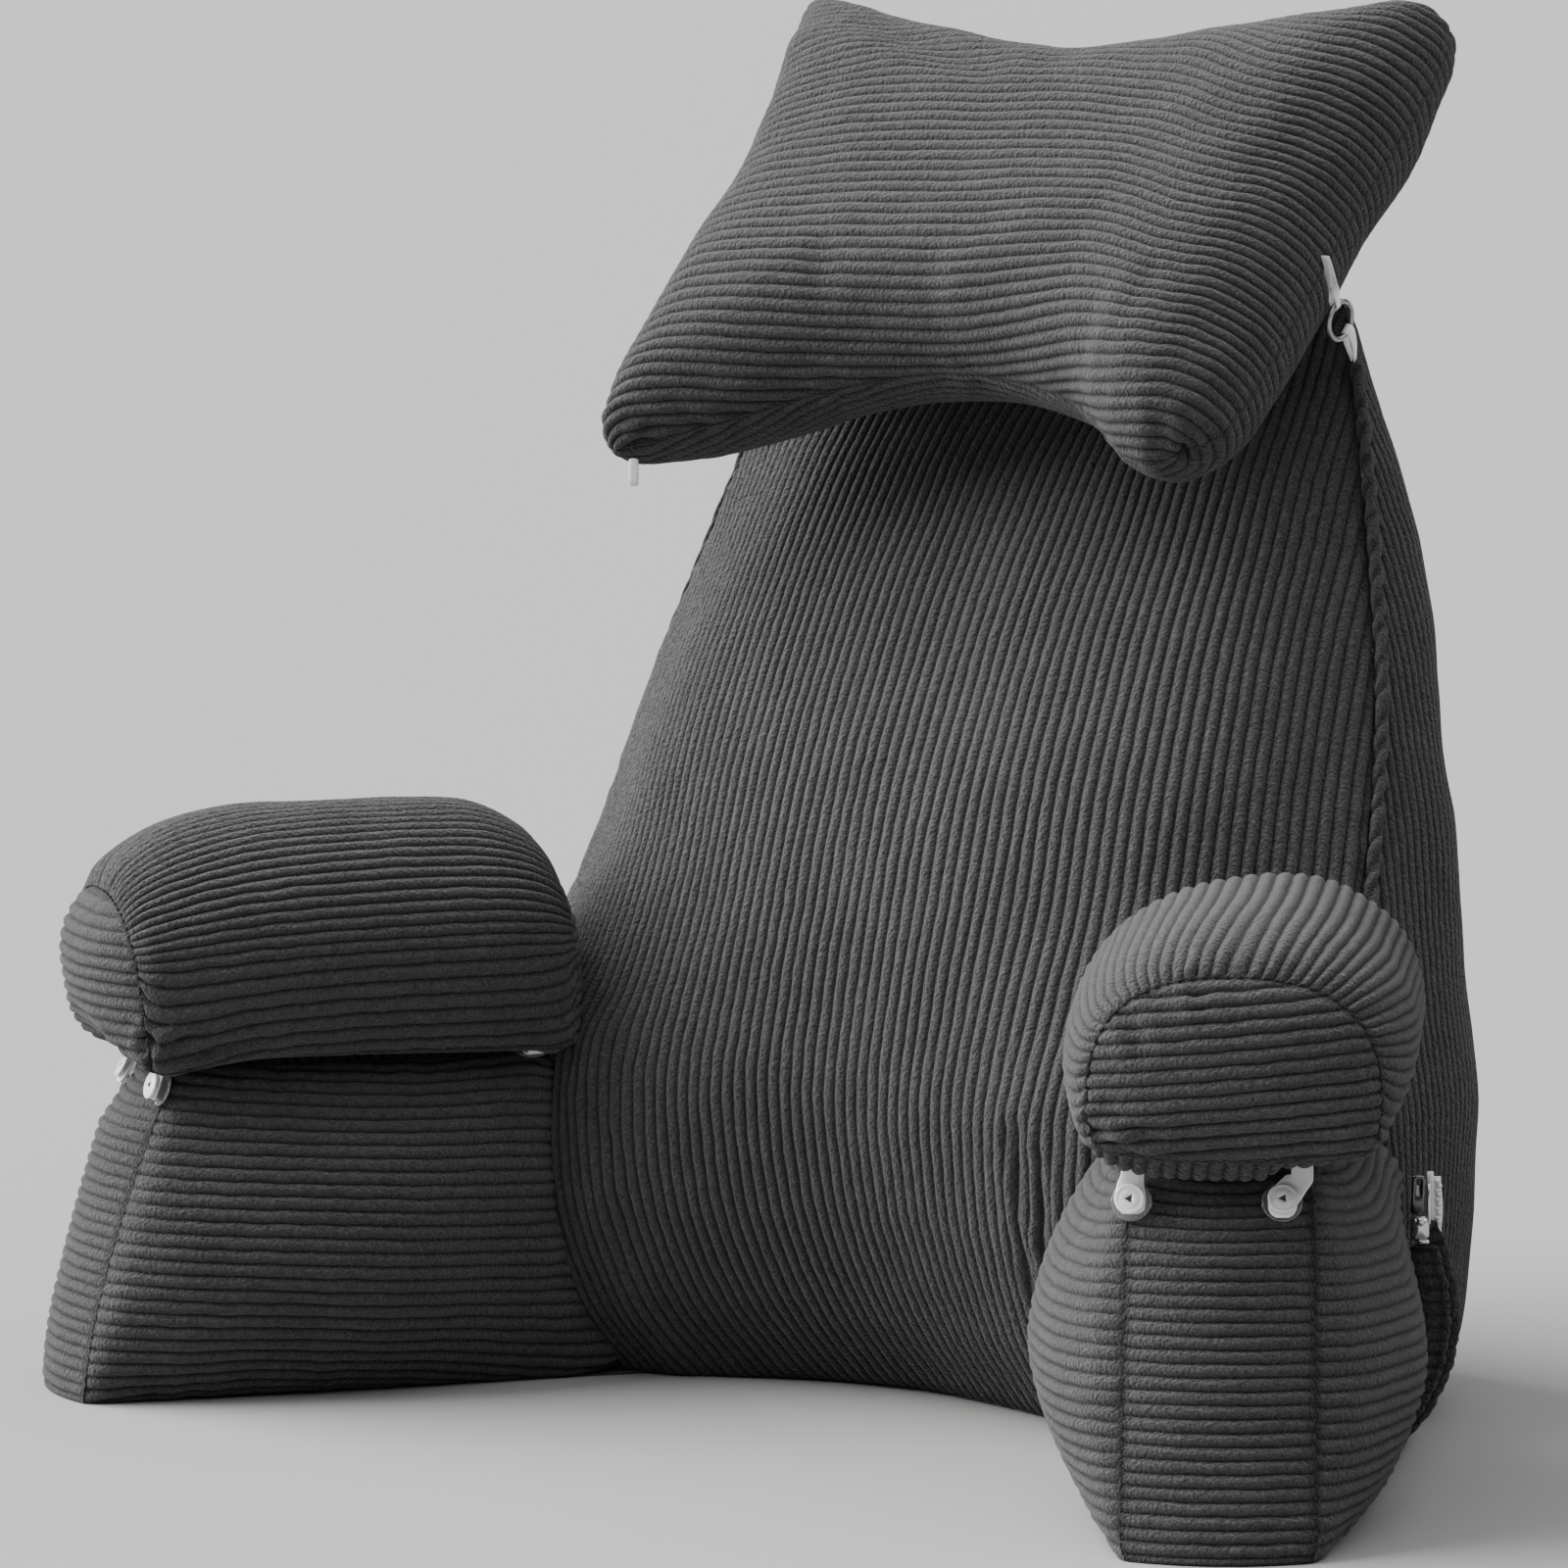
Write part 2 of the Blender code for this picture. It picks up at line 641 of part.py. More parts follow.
def height_over(tree, point):
    """Signed distance of a point from a closed surface, positive outside."""
    near, normal, _, distance = tree.find_nearest(point)
    return distance if (point - near).dot(normal) > 0 else -distance


def seat(obj, tree, direction, gap):
    """Slide an object along a direction until its nearest point keeps the gap."""
    for _ in range(SEAT_ROUNDS):
        least = min(height_over(tree, v.co) for v in obj.data.vertices)
        move = Vector(direction) * (gap - least)
        for vertex in obj.data.vertices:
            vertex.co += move


def ribbon(name, path, across, half_widths, thick, mat):
    """A closed strip of even thickness along a path; across is its width direction."""
    path = [Vector(p) for p in path]
    rings = []
    for i, point in enumerate(path):
        ahead = path[min(i + 1, len(path) - 1)] - path[max(i - 1, 0)]
        wide = Vector(across[i]).normalized()
        wide = (wide - wide.dot(ahead.normalized()) * ahead.normalized()).normalized()
        normal = ahead.normalized().cross(wide).normalized()
        w = wide * half_widths[i]
        n = normal * thick / 2
        rings.append([point + w + n, point - w + n, point - w - n, point + w - n])
    rings = np.array([[tuple(p) for p in ring] for ring in rings])
    shell = Shell()
    shell.grid(np.concatenate([rings, rings[:, :1]], axis=1))
    shell.face(rings[0])
    shell.face(rings[-1])
    return add_object(name, shell.verts, shell.faces, mat)


# Rounded face of a disc: share of the radius, share of the dome height below the top
DISC_LEVELS = ((1.0, 1.0), (0.8, 0.3), (0.4, 0.0))


def disc(name, centre, normal, radius, thick, dome, mat):
    """A round plate whose outer face is rounded over by the dome height."""
    turn = Vector(normal).to_track_quat("Z", "Y").to_matrix()
    rings = []
    for share, lowered in DISC_LEVELS:
        r = radius * share
        height = thick - dome * lowered
        ring = []
        for i in range(SNAP_SIDES):
            angle = 2 * math.pi * i / SNAP_SIDES
            local = Vector((r * math.cos(angle), r * math.sin(angle), height))
            ring.append(tuple(Vector(centre) + turn @ local))
        rings.append(ring)
    foot = np.array(rings[0]) - np.array(Vector(normal) * (thick - dome))
    rings = np.array([foot] + rings)
    shell = Shell()
    shell.grid(np.concatenate([rings, rings[:, :1]], axis=1))
    shell.face(rings[0])
    shell.face(rings[-1])
    return add_object(name, shell.verts, shell.faces, mat)


def cast_from(tree, point, inward):
    """Surface point and normal met when looking in from outside, in metres."""
    hit, normal, _, _ = tree.ray_cast(point - inward * CAST_REACH, inward)
    return hit, normal


def snap_disc(name, at, normal, radius, thick, dome, tree, mat):
    plate = disc(name, at, normal, radius * MM, thick * MM, dome * MM, mat)
    seat(plate, tree, normal, SNAP_GAP)
    return plate


def build_front_tab(name, snap_out, top_shift, axes, tree, roof, mats):
    """Snap on the front strip, with a tape that hangs to it from under the bolster."""
    foot, along, out = (Vector(axis) for axis in axes)
    start = foot + out * snap_out
    start_z = Vector((start.x, start.y, SNAP_Z)) * MM
    hit, normal = cast_from(tree, start_z, along)
    base = snap_disc(
        name + "_base", hit, normal, SNAP_BASE_RADIUS, SNAP_BASE_THICK, SNAP_BASE_DOME,
        tree, mats["clear"],
    )
    over = max(height_over(tree, v.co) for v in base.data.vertices)
    path = []
    for z, inward, half in FRONT_TAPE_ROWS:
        level = Vector((start.x, start.y, min(z, FRONT_TAPE_EDGE_Z))) * MM
        point, face = cast_from(tree, level, along)
        point = point + face * (over + TAPE_CLEAR) + along * inward * MM
        shift = top_shift * min(max((z - SNAP_Z) / (ARM_HEIGHT - SNAP_Z), 0), 1)
        point += out * shift * MM
        if z > ARM_HEIGHT + FRONT_TAPE_FREE:
            room = []
            for share in (-1, 0, 1):
                above, _ = cast_from(roof, point + out * share * half * MM, Vector((0, 0, 1)))
                room.append(above.z)
            point.z = min(room) - (TAPE_THICK / 2 + FRONT_TAPE_ROOF_GAP) * MM
        path.append(point)
    widths = [row[2] * MM for row in FRONT_TAPE_ROWS]
    tape = ribbon(name + "_tape", path, [out] * len(path), widths, TAPE_THICK * MM, mats["tape"])
    snap_disc(
        name + "_cap", path[FRONT_TAPE_SNAP_ROW] + normal * MM, normal,
        SNAP_CAP_RADIUS, SNAP_CAP_THICK, SNAP_CAP_DOME, tree_of(tape), mats["clear"],
    )


def build_rear_tab(name, snap_out, axes, tree, mats):
    """Snap on the arm's top edge under the bolster, its tape coming in from the bolster's seam."""
    foot, along, out = (Vector(axis) for axis in axes)
    outward = out * math.copysign(1.0, snap_out)
    start = (foot + along * REAR_TAB_ALONG + out * snap_out) * MM
    hit, normal = cast_from(tree, start, Vector((0, 0, -1)))
    base = snap_disc(
        name + "_base", hit, normal, SNAP_BASE_RADIUS, REAR_BASE_THICK, SNAP_BASE_DOME,
        tree, mats["clear"],
    )
    over = max((v.co - hit).dot(normal) for v in base.data.vertices)
    centre = hit + normal * (over + PIECE_GAP + TAPE_THICK * MM / 2)
    flat = (outward - outward.dot(normal) * normal).normalized()
    path = []
    for reach, rise, _ in REAR_TAPE_ROWS:
        path.append(centre + flat * reach * MM + Vector((0, 0, rise * MM)))
    widths = [row[2] * MM for row in REAR_TAPE_ROWS]
    tape = ribbon(name + "_tape", path, [along] * len(path), widths, TAPE_THICK * MM, mats["tape"])
    snap_disc(
        name + "_cap", centre, normal, REAR_CAP_RADIUS, REAR_CAP_THICK, REAR_CAP_DOME,
        tree_of(tape), mats["clear"],
    )


# Neck rings: wire ring held between a loop on the pillow's end and one on the backrest
RING_SEAM_V = -0.06
RING_BACKREST_END = (152.0, 57.0, 447.0)
RING_CENTRE = (162.5, 30.0, 464.0)
RING_RADIUS = 8.2
RING_WIRE = 1.3
RING_STEPS = 28
RING_WIRE_STEPS = 10
LOOP_HALF_SEWN = 4.0
LOOP_HALF_RING = 2.4
LOOP_SEWN_GAP = 1.1 * MM
LOOP_CLEAR = 0.8 * MM
LOOP_SLACK = 0.65
LOOP_SEWN_APART = 0.3
LOOP_TURN_STEPS = 8
# Side of a loop from its sewn end: share of its length, offset share from sewn to ring width
LOOP_PLACES = ((0.0, 0.0), (0.25, 0.3), (0.55, 1.0))


def torus(name, centre, normal, radius, wire, mat):
    turn = Vector(normal).to_track_quat("Z", "Y").to_matrix()
    grid = []
    for i in range(RING_STEPS + 1):
        angle = 2 * math.pi * i / RING_STEPS
        row = []
        for j in range(RING_WIRE_STEPS + 1):
            around = 2 * math.pi * j / RING_WIRE_STEPS
            reach = radius + wire * math.cos(around)
            x = reach * math.cos(angle)
            y = reach * math.sin(angle)
            row.append(tuple(Vector(centre) + turn @ Vector((x, y, wire * math.sin(around)))))
        grid.append(row)
    shell = Shell()
    shell.grid(np.array(grid))
    return add_object(name, shell.verts, shell.faces, mat)


def hairpin(name, start, wire_point, ring_normal, mat):
    """A strip folded round the ring's wire with both ends sewn down at the start."""
    start = Vector(start)
    wire_point = Vector(wire_point)
    run = wire_point - start
    length = run.length
    ahead = run.normalized()
    side = Vector(ring_normal)
    side = (side - side.dot(ahead) * ahead).normalized()
    wide = ahead.cross(side)
    turn_radius = RING_WIRE + LOOP_SLACK + TAPE_THICK / 2
    turn_depth = turn_radius + LOOP_SLACK
    sewn = TAPE_THICK / 2 + LOOP_SEWN_APART
    leg = [(share * length, sewn + (turn_radius - sewn) * open_) for share, open_ in LOOP_PLACES]
    path = list(leg)
    for step in range(LOOP_TURN_STEPS + 1):
        angle = math.pi * step / LOOP_TURN_STEPS
        path.append((length + turn_depth * math.sin(angle) * MM, turn_radius * math.cos(angle)))
    path += [(forward, -offset) for forward, offset in leg[::-1]]
    points = [start + ahead * forward + side * offset * MM for forward, offset in path]
    widths = []
    for forward, _ in path:
        share = min(forward / length, 1.0)
        widths.append((LOOP_HALF_SEWN + (LOOP_HALF_RING - LOOP_HALF_SEWN) * share) * MM)
    return ribbon(name, points, [wide] * len(points), widths, TAPE_THICK * MM, mat)


def build_neck_ring(side_name, side, mats, pillow_tree, backrest_tree):
    """Metal ring and its two tape loops at one end of the neck pillow."""
    mirror = Vector((side, 1, 1))
    centre = Vector(RING_CENTRE) * mirror * MM
    upper = Vector(neck_point(np.float64(side), np.float64(RING_SEAM_V), 0)) * MM
    lower = Vector(RING_BACKREST_END) * mirror * MM
    ends = []
    for point, tree in ((upper, pillow_tree), (lower, backrest_tree)):
        near, face, _, _ = tree.find_nearest(point)
        ends.append(near + face * LOOP_SEWN_GAP)
    pull = (ends[1] - ends[0]).normalized()
    normal = Vector((side, 0, 0))
    normal = (normal - normal.dot(pull) * pull).normalized()
    torus("ring_" + side_name, centre, normal, RING_RADIUS * MM, RING_WIRE * MM, mats["metal"])
    loops = (("ring_loop_upper_", ends[0], pillow_tree), ("ring_loop_lower_", ends[1], backrest_tree))
    for prefix, start, tree in loops:
        radial = start - centre
        radial = (radial - radial.dot(normal) * normal).normalized()
        wire_point = centre + radial * RING_RADIUS * MM
        loop = hairpin(prefix + side_name, start, wire_point, normal, mats["tape"])
        seat_clear(loop, tree, LOOP_CLEAR)


def seat_clear(obj, tree, clearance):
    """Bend the points of a strip that come too near a surface away from it."""
    for vertex in obj.data.vertices:
        least = height_over(tree, vertex.co)
        if least < clearance:
            near, normal, _, _ = tree.find_nearest(vertex.co)
            vertex.co = near + normal * clearance


# Corner tape: place on the pillow as u and v, and the direction of its width
CORNER_TAPE_AT = (-0.93, -0.93)
CORNER_TAPE_WIDE = (0.8, 0.6, 0.0)
CORNER_TAPE_DROP = 0.8
CORNER_TAPE_LENGTH = 13.0
CORNER_TAPE_HALF = 2.2
CORNER_TAPE_THICK = 1.0
CORNER_TAPE_STEPS = 4


def build_corner_tape(tree, mat):
    """Short tape hanging from the neck pillow's lower left corner."""
    u, v = CORNER_TAPE_AT
    corner = Vector(neck_point(np.float64(u), np.float64(v), 0)) * MM
    hit, _ = cast_from(tree, corner, Vector((0, 0, 1)))
    drops = np.linspace(CORNER_TAPE_DROP, CORNER_TAPE_LENGTH, CORNER_TAPE_STEPS + 1)
    path = [hit - Vector((0, 0, drop * MM)) for drop in drops]
    widths = [CORNER_TAPE_HALF * MM] * len(path)
    across = [CORNER_TAPE_WIDE] * len(path)
    return ribbon("corner_tape", path, across, widths, CORNER_TAPE_THICK * MM, mat)


# Zip on the right arm's outer rear edge
ZIP_ALONG = 211.0
ZIP_FLAP_TOP_Z = 86.0
ZIP_FLAP_FOOT_Z = 8.0
ZIP_FLAP_HALF = 5.5
ZIP_FLAP_THICK = 2.2
ZIP_FLAP_STEPS = 12
ZIP_TAPE_ALONG = 219.5
ZIP_TAPE_TOP_Z = 115.0
ZIP_TAPE_FOOT_Z = 88.5
ZIP_TAPE_HALF = 2.8
ZIP_TAPE_THICK = 1.2
ZIP_TAPE_STEPS = 5
ZIP_SLIDER_Z = 94.0
ZIP_SLIDER_SIZE = (7.0, 10.0, 4.2)
ZIP_SLIDER_ROUND = 1.2
ZIP_PULL_SIZE = (5.6, 17.0, 1.4)
ZIP_PULL_Z = 108.5
ZIP_PULL_HOLE = 1.3
PLATE_CORNER_STEPS = 4
LAID_GAP = 0.8 * MM


def laid_strip(name, along, half, top_z, foot_z, steps, thick, axes, tree, mat):
    """A strip lying on a bulging surface, every point set off from the surface beneath it."""
    foot, along_axis, out = (Vector(axis) for axis in axes)
    under = []
    over = []
    for z in np.linspace(top_z, foot_z, steps + 1):
        row_under = []
        row_over = []
        for share in (-1.0, 0.0, 1.0):
            point = (foot + along_axis * (along + share * half)) * MM
            hit, normal = cast_from(tree, Vector((point.x, point.y, z * MM)), -out)
            row_under.append(tuple(hit + normal * LAID_GAP))
            row_over.append(tuple(hit + normal * (LAID_GAP + thick * MM)))
        under.append(row_under)
        over.append(row_over)
    under = np.array(under)
    over = np.array(over)
    shell = Shell()
    shell.grid(under)
    shell.grid(over)
    for edge in (0, -1):
        shell.grid(np.stack([under[:, edge], over[:, edge]], axis=1))
        shell.grid(np.stack([under[edge], over[edge]], axis=0))
    return add_object(name, shell.verts, shell.faces, mat)


def rounded_plate(name, centre, frame, size, corner, hole, mat):
    """A plate with rounded corners, and a round hole near its top when hole is not nil."""
    width, height, thick = size
    outline = []
    for quarter, (sx, sy) in enumerate(((1, 1), (-1, 1), (-1, -1), (1, -1))):
        for step in range(PLATE_CORNER_STEPS + 1):
            angle = math.pi / 2 * (quarter + step / PLATE_CORNER_STEPS)
            x = sx * (width / 2 - corner) + corner * math.cos(angle)
            y = sy * (height / 2 - corner) + corner * math.sin(angle)
            outline.append((x, y))
    across, up, normal = frame

    def place(x, y, depth):
        return tuple(centre + (across * x + up * y + normal * depth) * MM)

    shell = Shell()
    back = [place(x, y, -thick / 2) for x, y in outline]
    front = [place(x, y, thick / 2) for x, y in outline]
    wall = np.array([back + back[:1], front + front[:1]])
    shell.grid(wall)
    if hole:
        rim = []
        hole_y = height / 2 - corner - hole
        for x, y in outline:
            angle = math.atan2(y, x)
            rim.append((hole * math.cos(angle), hole_y + hole * math.sin(angle)))
        rim_back = [place(x, y, -thick / 2) for x, y in rim]
        rim_front = [place(x, y, thick / 2) for x, y in rim]
        shell.grid(np.array([rim_back + rim_back[:1], rim_front + rim_front[:1]]))
        shell.grid(np.array([back + back[:1], rim_back + rim_back[:1]]))
        shell.grid(np.array([front + front[:1], rim_front + rim_front[:1]]))
    else:
        shell.face(back)
        shell.face(front)
    return add_object(name, shell.verts, shell.faces, mat)


def build_zip(axes, tree, mats):
    """Flap over the zip, the light end of its tape, its slider and its upright pull."""
    laid_strip(
        "zip_flap", ZIP_ALONG, ZIP_FLAP_HALF, ZIP_FLAP_TOP_Z, ZIP_FLAP_FOOT_Z,
        ZIP_FLAP_STEPS, ZIP_FLAP_THICK, axes, tree, mats["cord"],
    )
    laid_strip(
        "zip_tape", ZIP_TAPE_ALONG, ZIP_TAPE_HALF, ZIP_TAPE_TOP_Z, ZIP_TAPE_FOOT_Z,
        ZIP_TAPE_STEPS, ZIP_TAPE_THICK, axes, tree, mats["tape"],
    )
    foot, sideways, out = (Vector(axis) for axis in axes)
    start = (foot + sideways * ZIP_ALONG) * MM
    plates = (
        ("zip_slider", ZIP_SLIDER_Z, ZIP_SLIDER_SIZE, ZIP_SLIDER_ROUND, 0.0),
        ("zip_pull", ZIP_PULL_Z, ZIP_PULL_SIZE, ZIP_SLIDER_ROUND, ZIP_PULL_HOLE),
    )
    for name, z, size, corner, hole in plates:
        hit, normal = cast_from(tree, Vector((start.x, start.y, z * MM)), -out)
        across = (sideways - sideways.dot(normal) * normal).normalized()
        frame = (across, normal.cross(across), normal)
        if frame[1].z < 0:
            frame = (across, -frame[1], normal)
        plate = rounded_plate(name, hit, frame, size, corner, hole, mats["metal"])
        seat(plate, tree, normal, PIECE_GAP)


def main():
    clear_scene()
    mats = {
        "cord": material("charcoal_corduroy", (0.045, 0.045, 0.046), 0.92),
        "tape": material("white_satin_tape", (0.78, 0.78, 0.77), 0.45),
        "clear": material("frosted_clear_plastic", (0.62, 0.64, 0.65), 0.25),
        "metal": material("chrome_metal", (0.75, 0.75, 0.76), 0.15, 1.0),
    }
    backrest = build_backrest(mats["cord"])
    backrest_tree = tree_of(backrest)
    cutter = grown_copy(backrest, SEWN_GAP)
    for row, side in zip(ARM_ROWS, ("right", "left")):
        arm = build_arm("arm_" + side, row, mats["cord"])
        cut_away(arm, cutter)
        arm_tree = tree_of(arm)
        bolster = build_bolster(side, bolster_axes(row, side), mats["cord"])
        lift_off(bolster, backrest, BOLSTER_REST_GAP)
        axes = arm_axes(row)
        roof = tree_of(bolster)
        for tab_name, snap_out, top_shift in FRONT_TABS:
            name = "tab_" + side + "_" + tab_name
            build_front_tab(name, snap_out, top_shift, axes, arm_tree, roof, mats)
        for tab_name, snap_out in REAR_TABS:
            build_rear_tab("tab_" + side + "_" + tab_name, snap_out, axes, arm_tree, mats)
        if side == "right":
            build_zip(axes, arm_tree, mats)
    bpy.data.objects.remove(cutter, do_unlink=True)
    pillow = build_neck(mats["cord"], backrest)
    pillow_tree = tree_of(pillow)
    build_neck_ring("right", 1, mats, pillow_tree, backrest_tree)
    build_neck_ring("left", -1, mats, pillow_tree, backrest_tree)
    build_corner_tape(pillow_tree, mats["tape"])


main()
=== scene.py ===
"""Looks for a corduroy reading pillow: every cushion is made of panels whose wales are real
ridges, with drawn-in seams, satin tapes, press studs, two rings and a zip end. Lengths are in
millimetres unless a comment says otherwise."""

import math

import bmesh
import bpy
import numpy as np
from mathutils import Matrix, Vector
from mathutils.bvhtree import BVHTree


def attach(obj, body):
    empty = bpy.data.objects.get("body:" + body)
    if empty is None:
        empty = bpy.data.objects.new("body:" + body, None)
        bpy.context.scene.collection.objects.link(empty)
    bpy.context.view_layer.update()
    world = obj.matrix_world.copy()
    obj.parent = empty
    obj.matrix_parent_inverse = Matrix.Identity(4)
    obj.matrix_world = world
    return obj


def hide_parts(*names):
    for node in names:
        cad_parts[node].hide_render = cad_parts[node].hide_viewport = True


MM = 0.001
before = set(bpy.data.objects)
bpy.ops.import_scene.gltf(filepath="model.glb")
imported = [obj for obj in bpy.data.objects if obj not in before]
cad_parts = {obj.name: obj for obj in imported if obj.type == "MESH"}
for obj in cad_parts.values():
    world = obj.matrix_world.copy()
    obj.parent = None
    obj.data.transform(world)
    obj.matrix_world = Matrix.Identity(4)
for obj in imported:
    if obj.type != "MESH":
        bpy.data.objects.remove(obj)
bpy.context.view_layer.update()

# ---------------------------------------------------------------- camera, floor and light, in metres
CAMERA_TURN = math.radians(35)
CAMERA_RISE = math.radians(6.13)
CAMERA_REACH = 3.316
CAMERA_TARGET = Vector((-0.107, 0.0, 0.252))
CAMERA_LENS = 171.0
WARM = (1.0, 0.985, 0.965)
WHITE = (1.0, 1.0, 1.0)
SUNS = (  # name, where it stands, energy, spread in degrees, colour
    ("key", (-0.73, -0.31, 0.61), 11.4, 65.0, WARM),
    ("low", (-0.90, -0.42, 0.10), 2.4, 50.0, WARM),
    ("top", (0.16, 0.0, 0.98), 3.6, 110.0, WHITE),
)
ROOM_FADE = dict(From_Min=0.08, From_Max=0.25, To_Min=0.65, To_Max=0.03)
FLOOR_REACH = 300.0
FLOOR_LEVEL = -0.0006


def placed(name, data):
    """A new object with this data, in the scene."""
    obj = bpy.data.objects.new(name, data)
    bpy.context.scene.collection.objects.link(obj)
    return obj


def node(tree, kind, source=None, socket="Vector", **values):
    """A new node with its sockets and settings set, and one input linked to a source."""
    made = tree.nodes.new(kind)
    for key, value in values.items():
        name = key.replace("_", " ")
        if name in made.inputs:
            made.inputs[name].default_value = value
        else:
            setattr(made, key, value)
    if source is not None:
        tree.links.new(source, made.inputs[socket])
    return made


def set_sockets(shader, **values):
    """Constants on the shader's own sockets, with underscores for spaces."""
    for key, value in values.items():
        shader.inputs[key.replace("_", " ")].default_value = value


def place_camera():
    back = Vector((
        math.sin(CAMERA_TURN) * math.cos(CAMERA_RISE),
        -math.cos(CAMERA_TURN) * math.cos(CAMERA_RISE),
        math.sin(CAMERA_RISE),
    ))
    camera = bpy.data.cameras.new("camera")
    camera.lens = CAMERA_LENS
    camera.sensor_width = 36.0
    camera.clip_end = 1000.0
    holder = placed("camera", camera)
    holder.location = CAMERA_TARGET + back * CAMERA_REACH
    holder.rotation_euler = back.to_track_quat("Z", "Y").to_euler()
    bpy.context.scene.camera = holder


def studio():
    """Soft light from the left, a broad one from above and a pale room."""
    world = bpy.data.worlds.new("studio")
    bpy.context.scene.world = world
    world.use_nodes = True
    tree = world.node_tree
    height = node(tree, "ShaderNodeSeparateXYZ", node(tree, "ShaderNodeTexCoord").outputs["Generated"])
    fade = node(tree, "ShaderNodeMapRange", height.outputs["Z"], "Value", **ROOM_FADE)
    background = tree.nodes["Background"]
    tree.links.new(fade.outputs["Result"], background.inputs["Strength"])
    set_sockets(background, Color=(1.0, 1.0, 1.0, 1.0))
    for name, towards, energy, spread, colour in SUNS:
        lamp = bpy.data.lights.new(name, "SUN")
        lamp.energy = energy
        lamp.angle = math.radians(spread)
        lamp.color = colour
        holder = placed(name, lamp)
        holder.location = Vector(towards) * 3
        holder.rotation_euler = Vector(towards).to_track_quat("Z", "Y").to_euler()
    mesh = bpy.data.meshes.new("floor")
    corners = [(x * FLOOR_REACH, y * FLOOR_REACH, FLOOR_LEVEL)
               for x, y in ((-1, -1), (1, -1), (1, 1), (-1, 1))]
    mesh.from_pydata(corners, [], [(0, 1, 2, 3)])
    mat, _, shader, _ = new_material("pale_floor")
    set_sockets(shader, Base_Color=(0.27, 0.27, 0.27, 1.0), Roughness=0.8, Specular_IOR_Level=0.2)
    mesh.materials.append(mat)
    placed("floor", mesh)


# ---------------------------------------------------------------- materials
def new_material(name):
    """A material with its tree, its shader and the object coordinates."""
    mat = bpy.data.materials.new(name)
    mat.use_nodes = True
    tree = mat.node_tree
    return mat, tree, tree.nodes["Principled BSDF"], node(tree, "ShaderNodeTexCoord").outputs["Object"]


def noise(tree, place, scale, detail, roughness=0.5):
    made = node(tree, "ShaderNodeTexNoise", place, Scale=scale, Detail=detail, Roughness=roughness)
    return made.outputs["Fac"]


def mapped(tree, source, low, high, start=0.0, end=1.0):
    """A value that goes from low to high while its source goes from start to end."""
    made = node(tree, "ShaderNodeMapRange", source, "Value",
                From_Min=start, From_Max=end, To_Min=low, To_Max=high)
    return made.outputs["Result"]


def combined(tree, operation, first, second):
    made = node(tree, "ShaderNodeMath", operation=operation)
    tree.links.new(first, made.inputs[0])
    tree.links.new(second, made.inputs[1])
    return made.outputs[0]


def bump(tree, shader, height, strength, distance):
    made = node(tree, "ShaderNodeBump", height, "Height", Strength=strength, Distance=distance)
    tree.links.new(made.outputs["Normal"], shader.inputs["Normal"])


def mottled_grey(tree, shader, source, low, high):
    """The shader's colour as greys from low to high."""
    tone = mapped(tree, source, low, high)
    colour = node(tree, "ShaderNodeCombineColor")
    for channel in ("Red", "Green", "Blue"):
        tree.links.new(tone, colour.inputs[channel])
    tree.links.new(colour.outputs["Color"], shader.inputs["Base Color"])


def corduroy_material(name, colour):
    """Cut pile with painted shade: dark between the wales and by the seams, paler on the wale tops, flecked
    and softly shining.
    """
    mat, tree, shader, place = new_material(name)
    # painted shade: the points' attribute darkens the colour in the wale grooves, along seams, between cord
    # lobes and in folds, and leaves the wale tops light
    painted_shade_and_tone = node(tree, "ShaderNodeAttribute", attribute_name="painted_shade_and_tone").outputs["Fac"]
    depth = mapped(tree, painted_shade_and_tone, 0.17, 1.0, 0.0, 0.75)
    flecks = mapped(tree, noise(tree, place, 950.0, 3.0, 0.65), 0.55, 1.5, 0.3, 0.7)
    patches = mapped(tree, noise(tree, place, 26.0, 3.0, 0.55), 0.9, 1.12, 0.3, 0.7)
    clumps = mapped(tree, noise(tree, place, 330.0, 2.0, 0.6), 0.76, 1.24, 0.3, 0.7)
    mottle = combined(tree, "MULTIPLY", clumps, patches)
    shade = combined(tree, "MULTIPLY", combined(tree, "MULTIPLY", flecks, mottle), depth)
    tint = node(tree, "ShaderNodeVectorMath", shade, "Scale", operation="SCALE")
    tint.inputs[0].default_value = colour
    tree.links.new(tint.outputs[0], shader.inputs["Base Color"])
    pile = noise(tree, place, 1700.0, 2.0, 0.6)
    tuft = node(tree, "ShaderNodeTexVoronoi", place, Scale=620.0).outputs["Distance"]
    bump(tree, shader, combined(tree, "ADD", pile, tuft), 1.0, 0.0011)
    set_sockets(shader, Roughness=0.93, Specular_IOR_Level=0.18, Sheen_Weight=0.16, Sheen_Roughness=0.5,
                Sheen_Tint=(0.8, 0.8, 0.82, 1.0))
    return mat


def tape_material(name):
    """Woven satin tape: close ribs across it and a soft gloss."""
    mat, tree, shader, place = new_material(name)
    weave = node(tree, "ShaderNodeTexWave", place, bands_direction="Z", Scale=420.0, Distortion=1.2,
                 Detail=2.0)
    mottled_grey(tree, shader, noise(tree, place, 160.0, 3.0), 0.64, 0.86)
    bump(tree, shader, weave.outputs["Fac"], 0.35, 0.0002)
    set_sockets(shader, Roughness=0.38, Sheen_Weight=0.25)
    return mat


def plastic_material(name, low, high, through_light):
    """Milky press-stud plastic with faint swirls from moulding."""
    mat, tree, shader, place = new_material(name)
    swirl = noise(tree, place, 240.0, 2.0)
    mottled_grey(tree, shader, swirl, low, high)
    bump(tree, shader, swirl, 0.15, 0.0002)
    set_sockets(shader, Roughness=0.16, Transmission_Weight=through_light, IOR=1.47)
    return mat


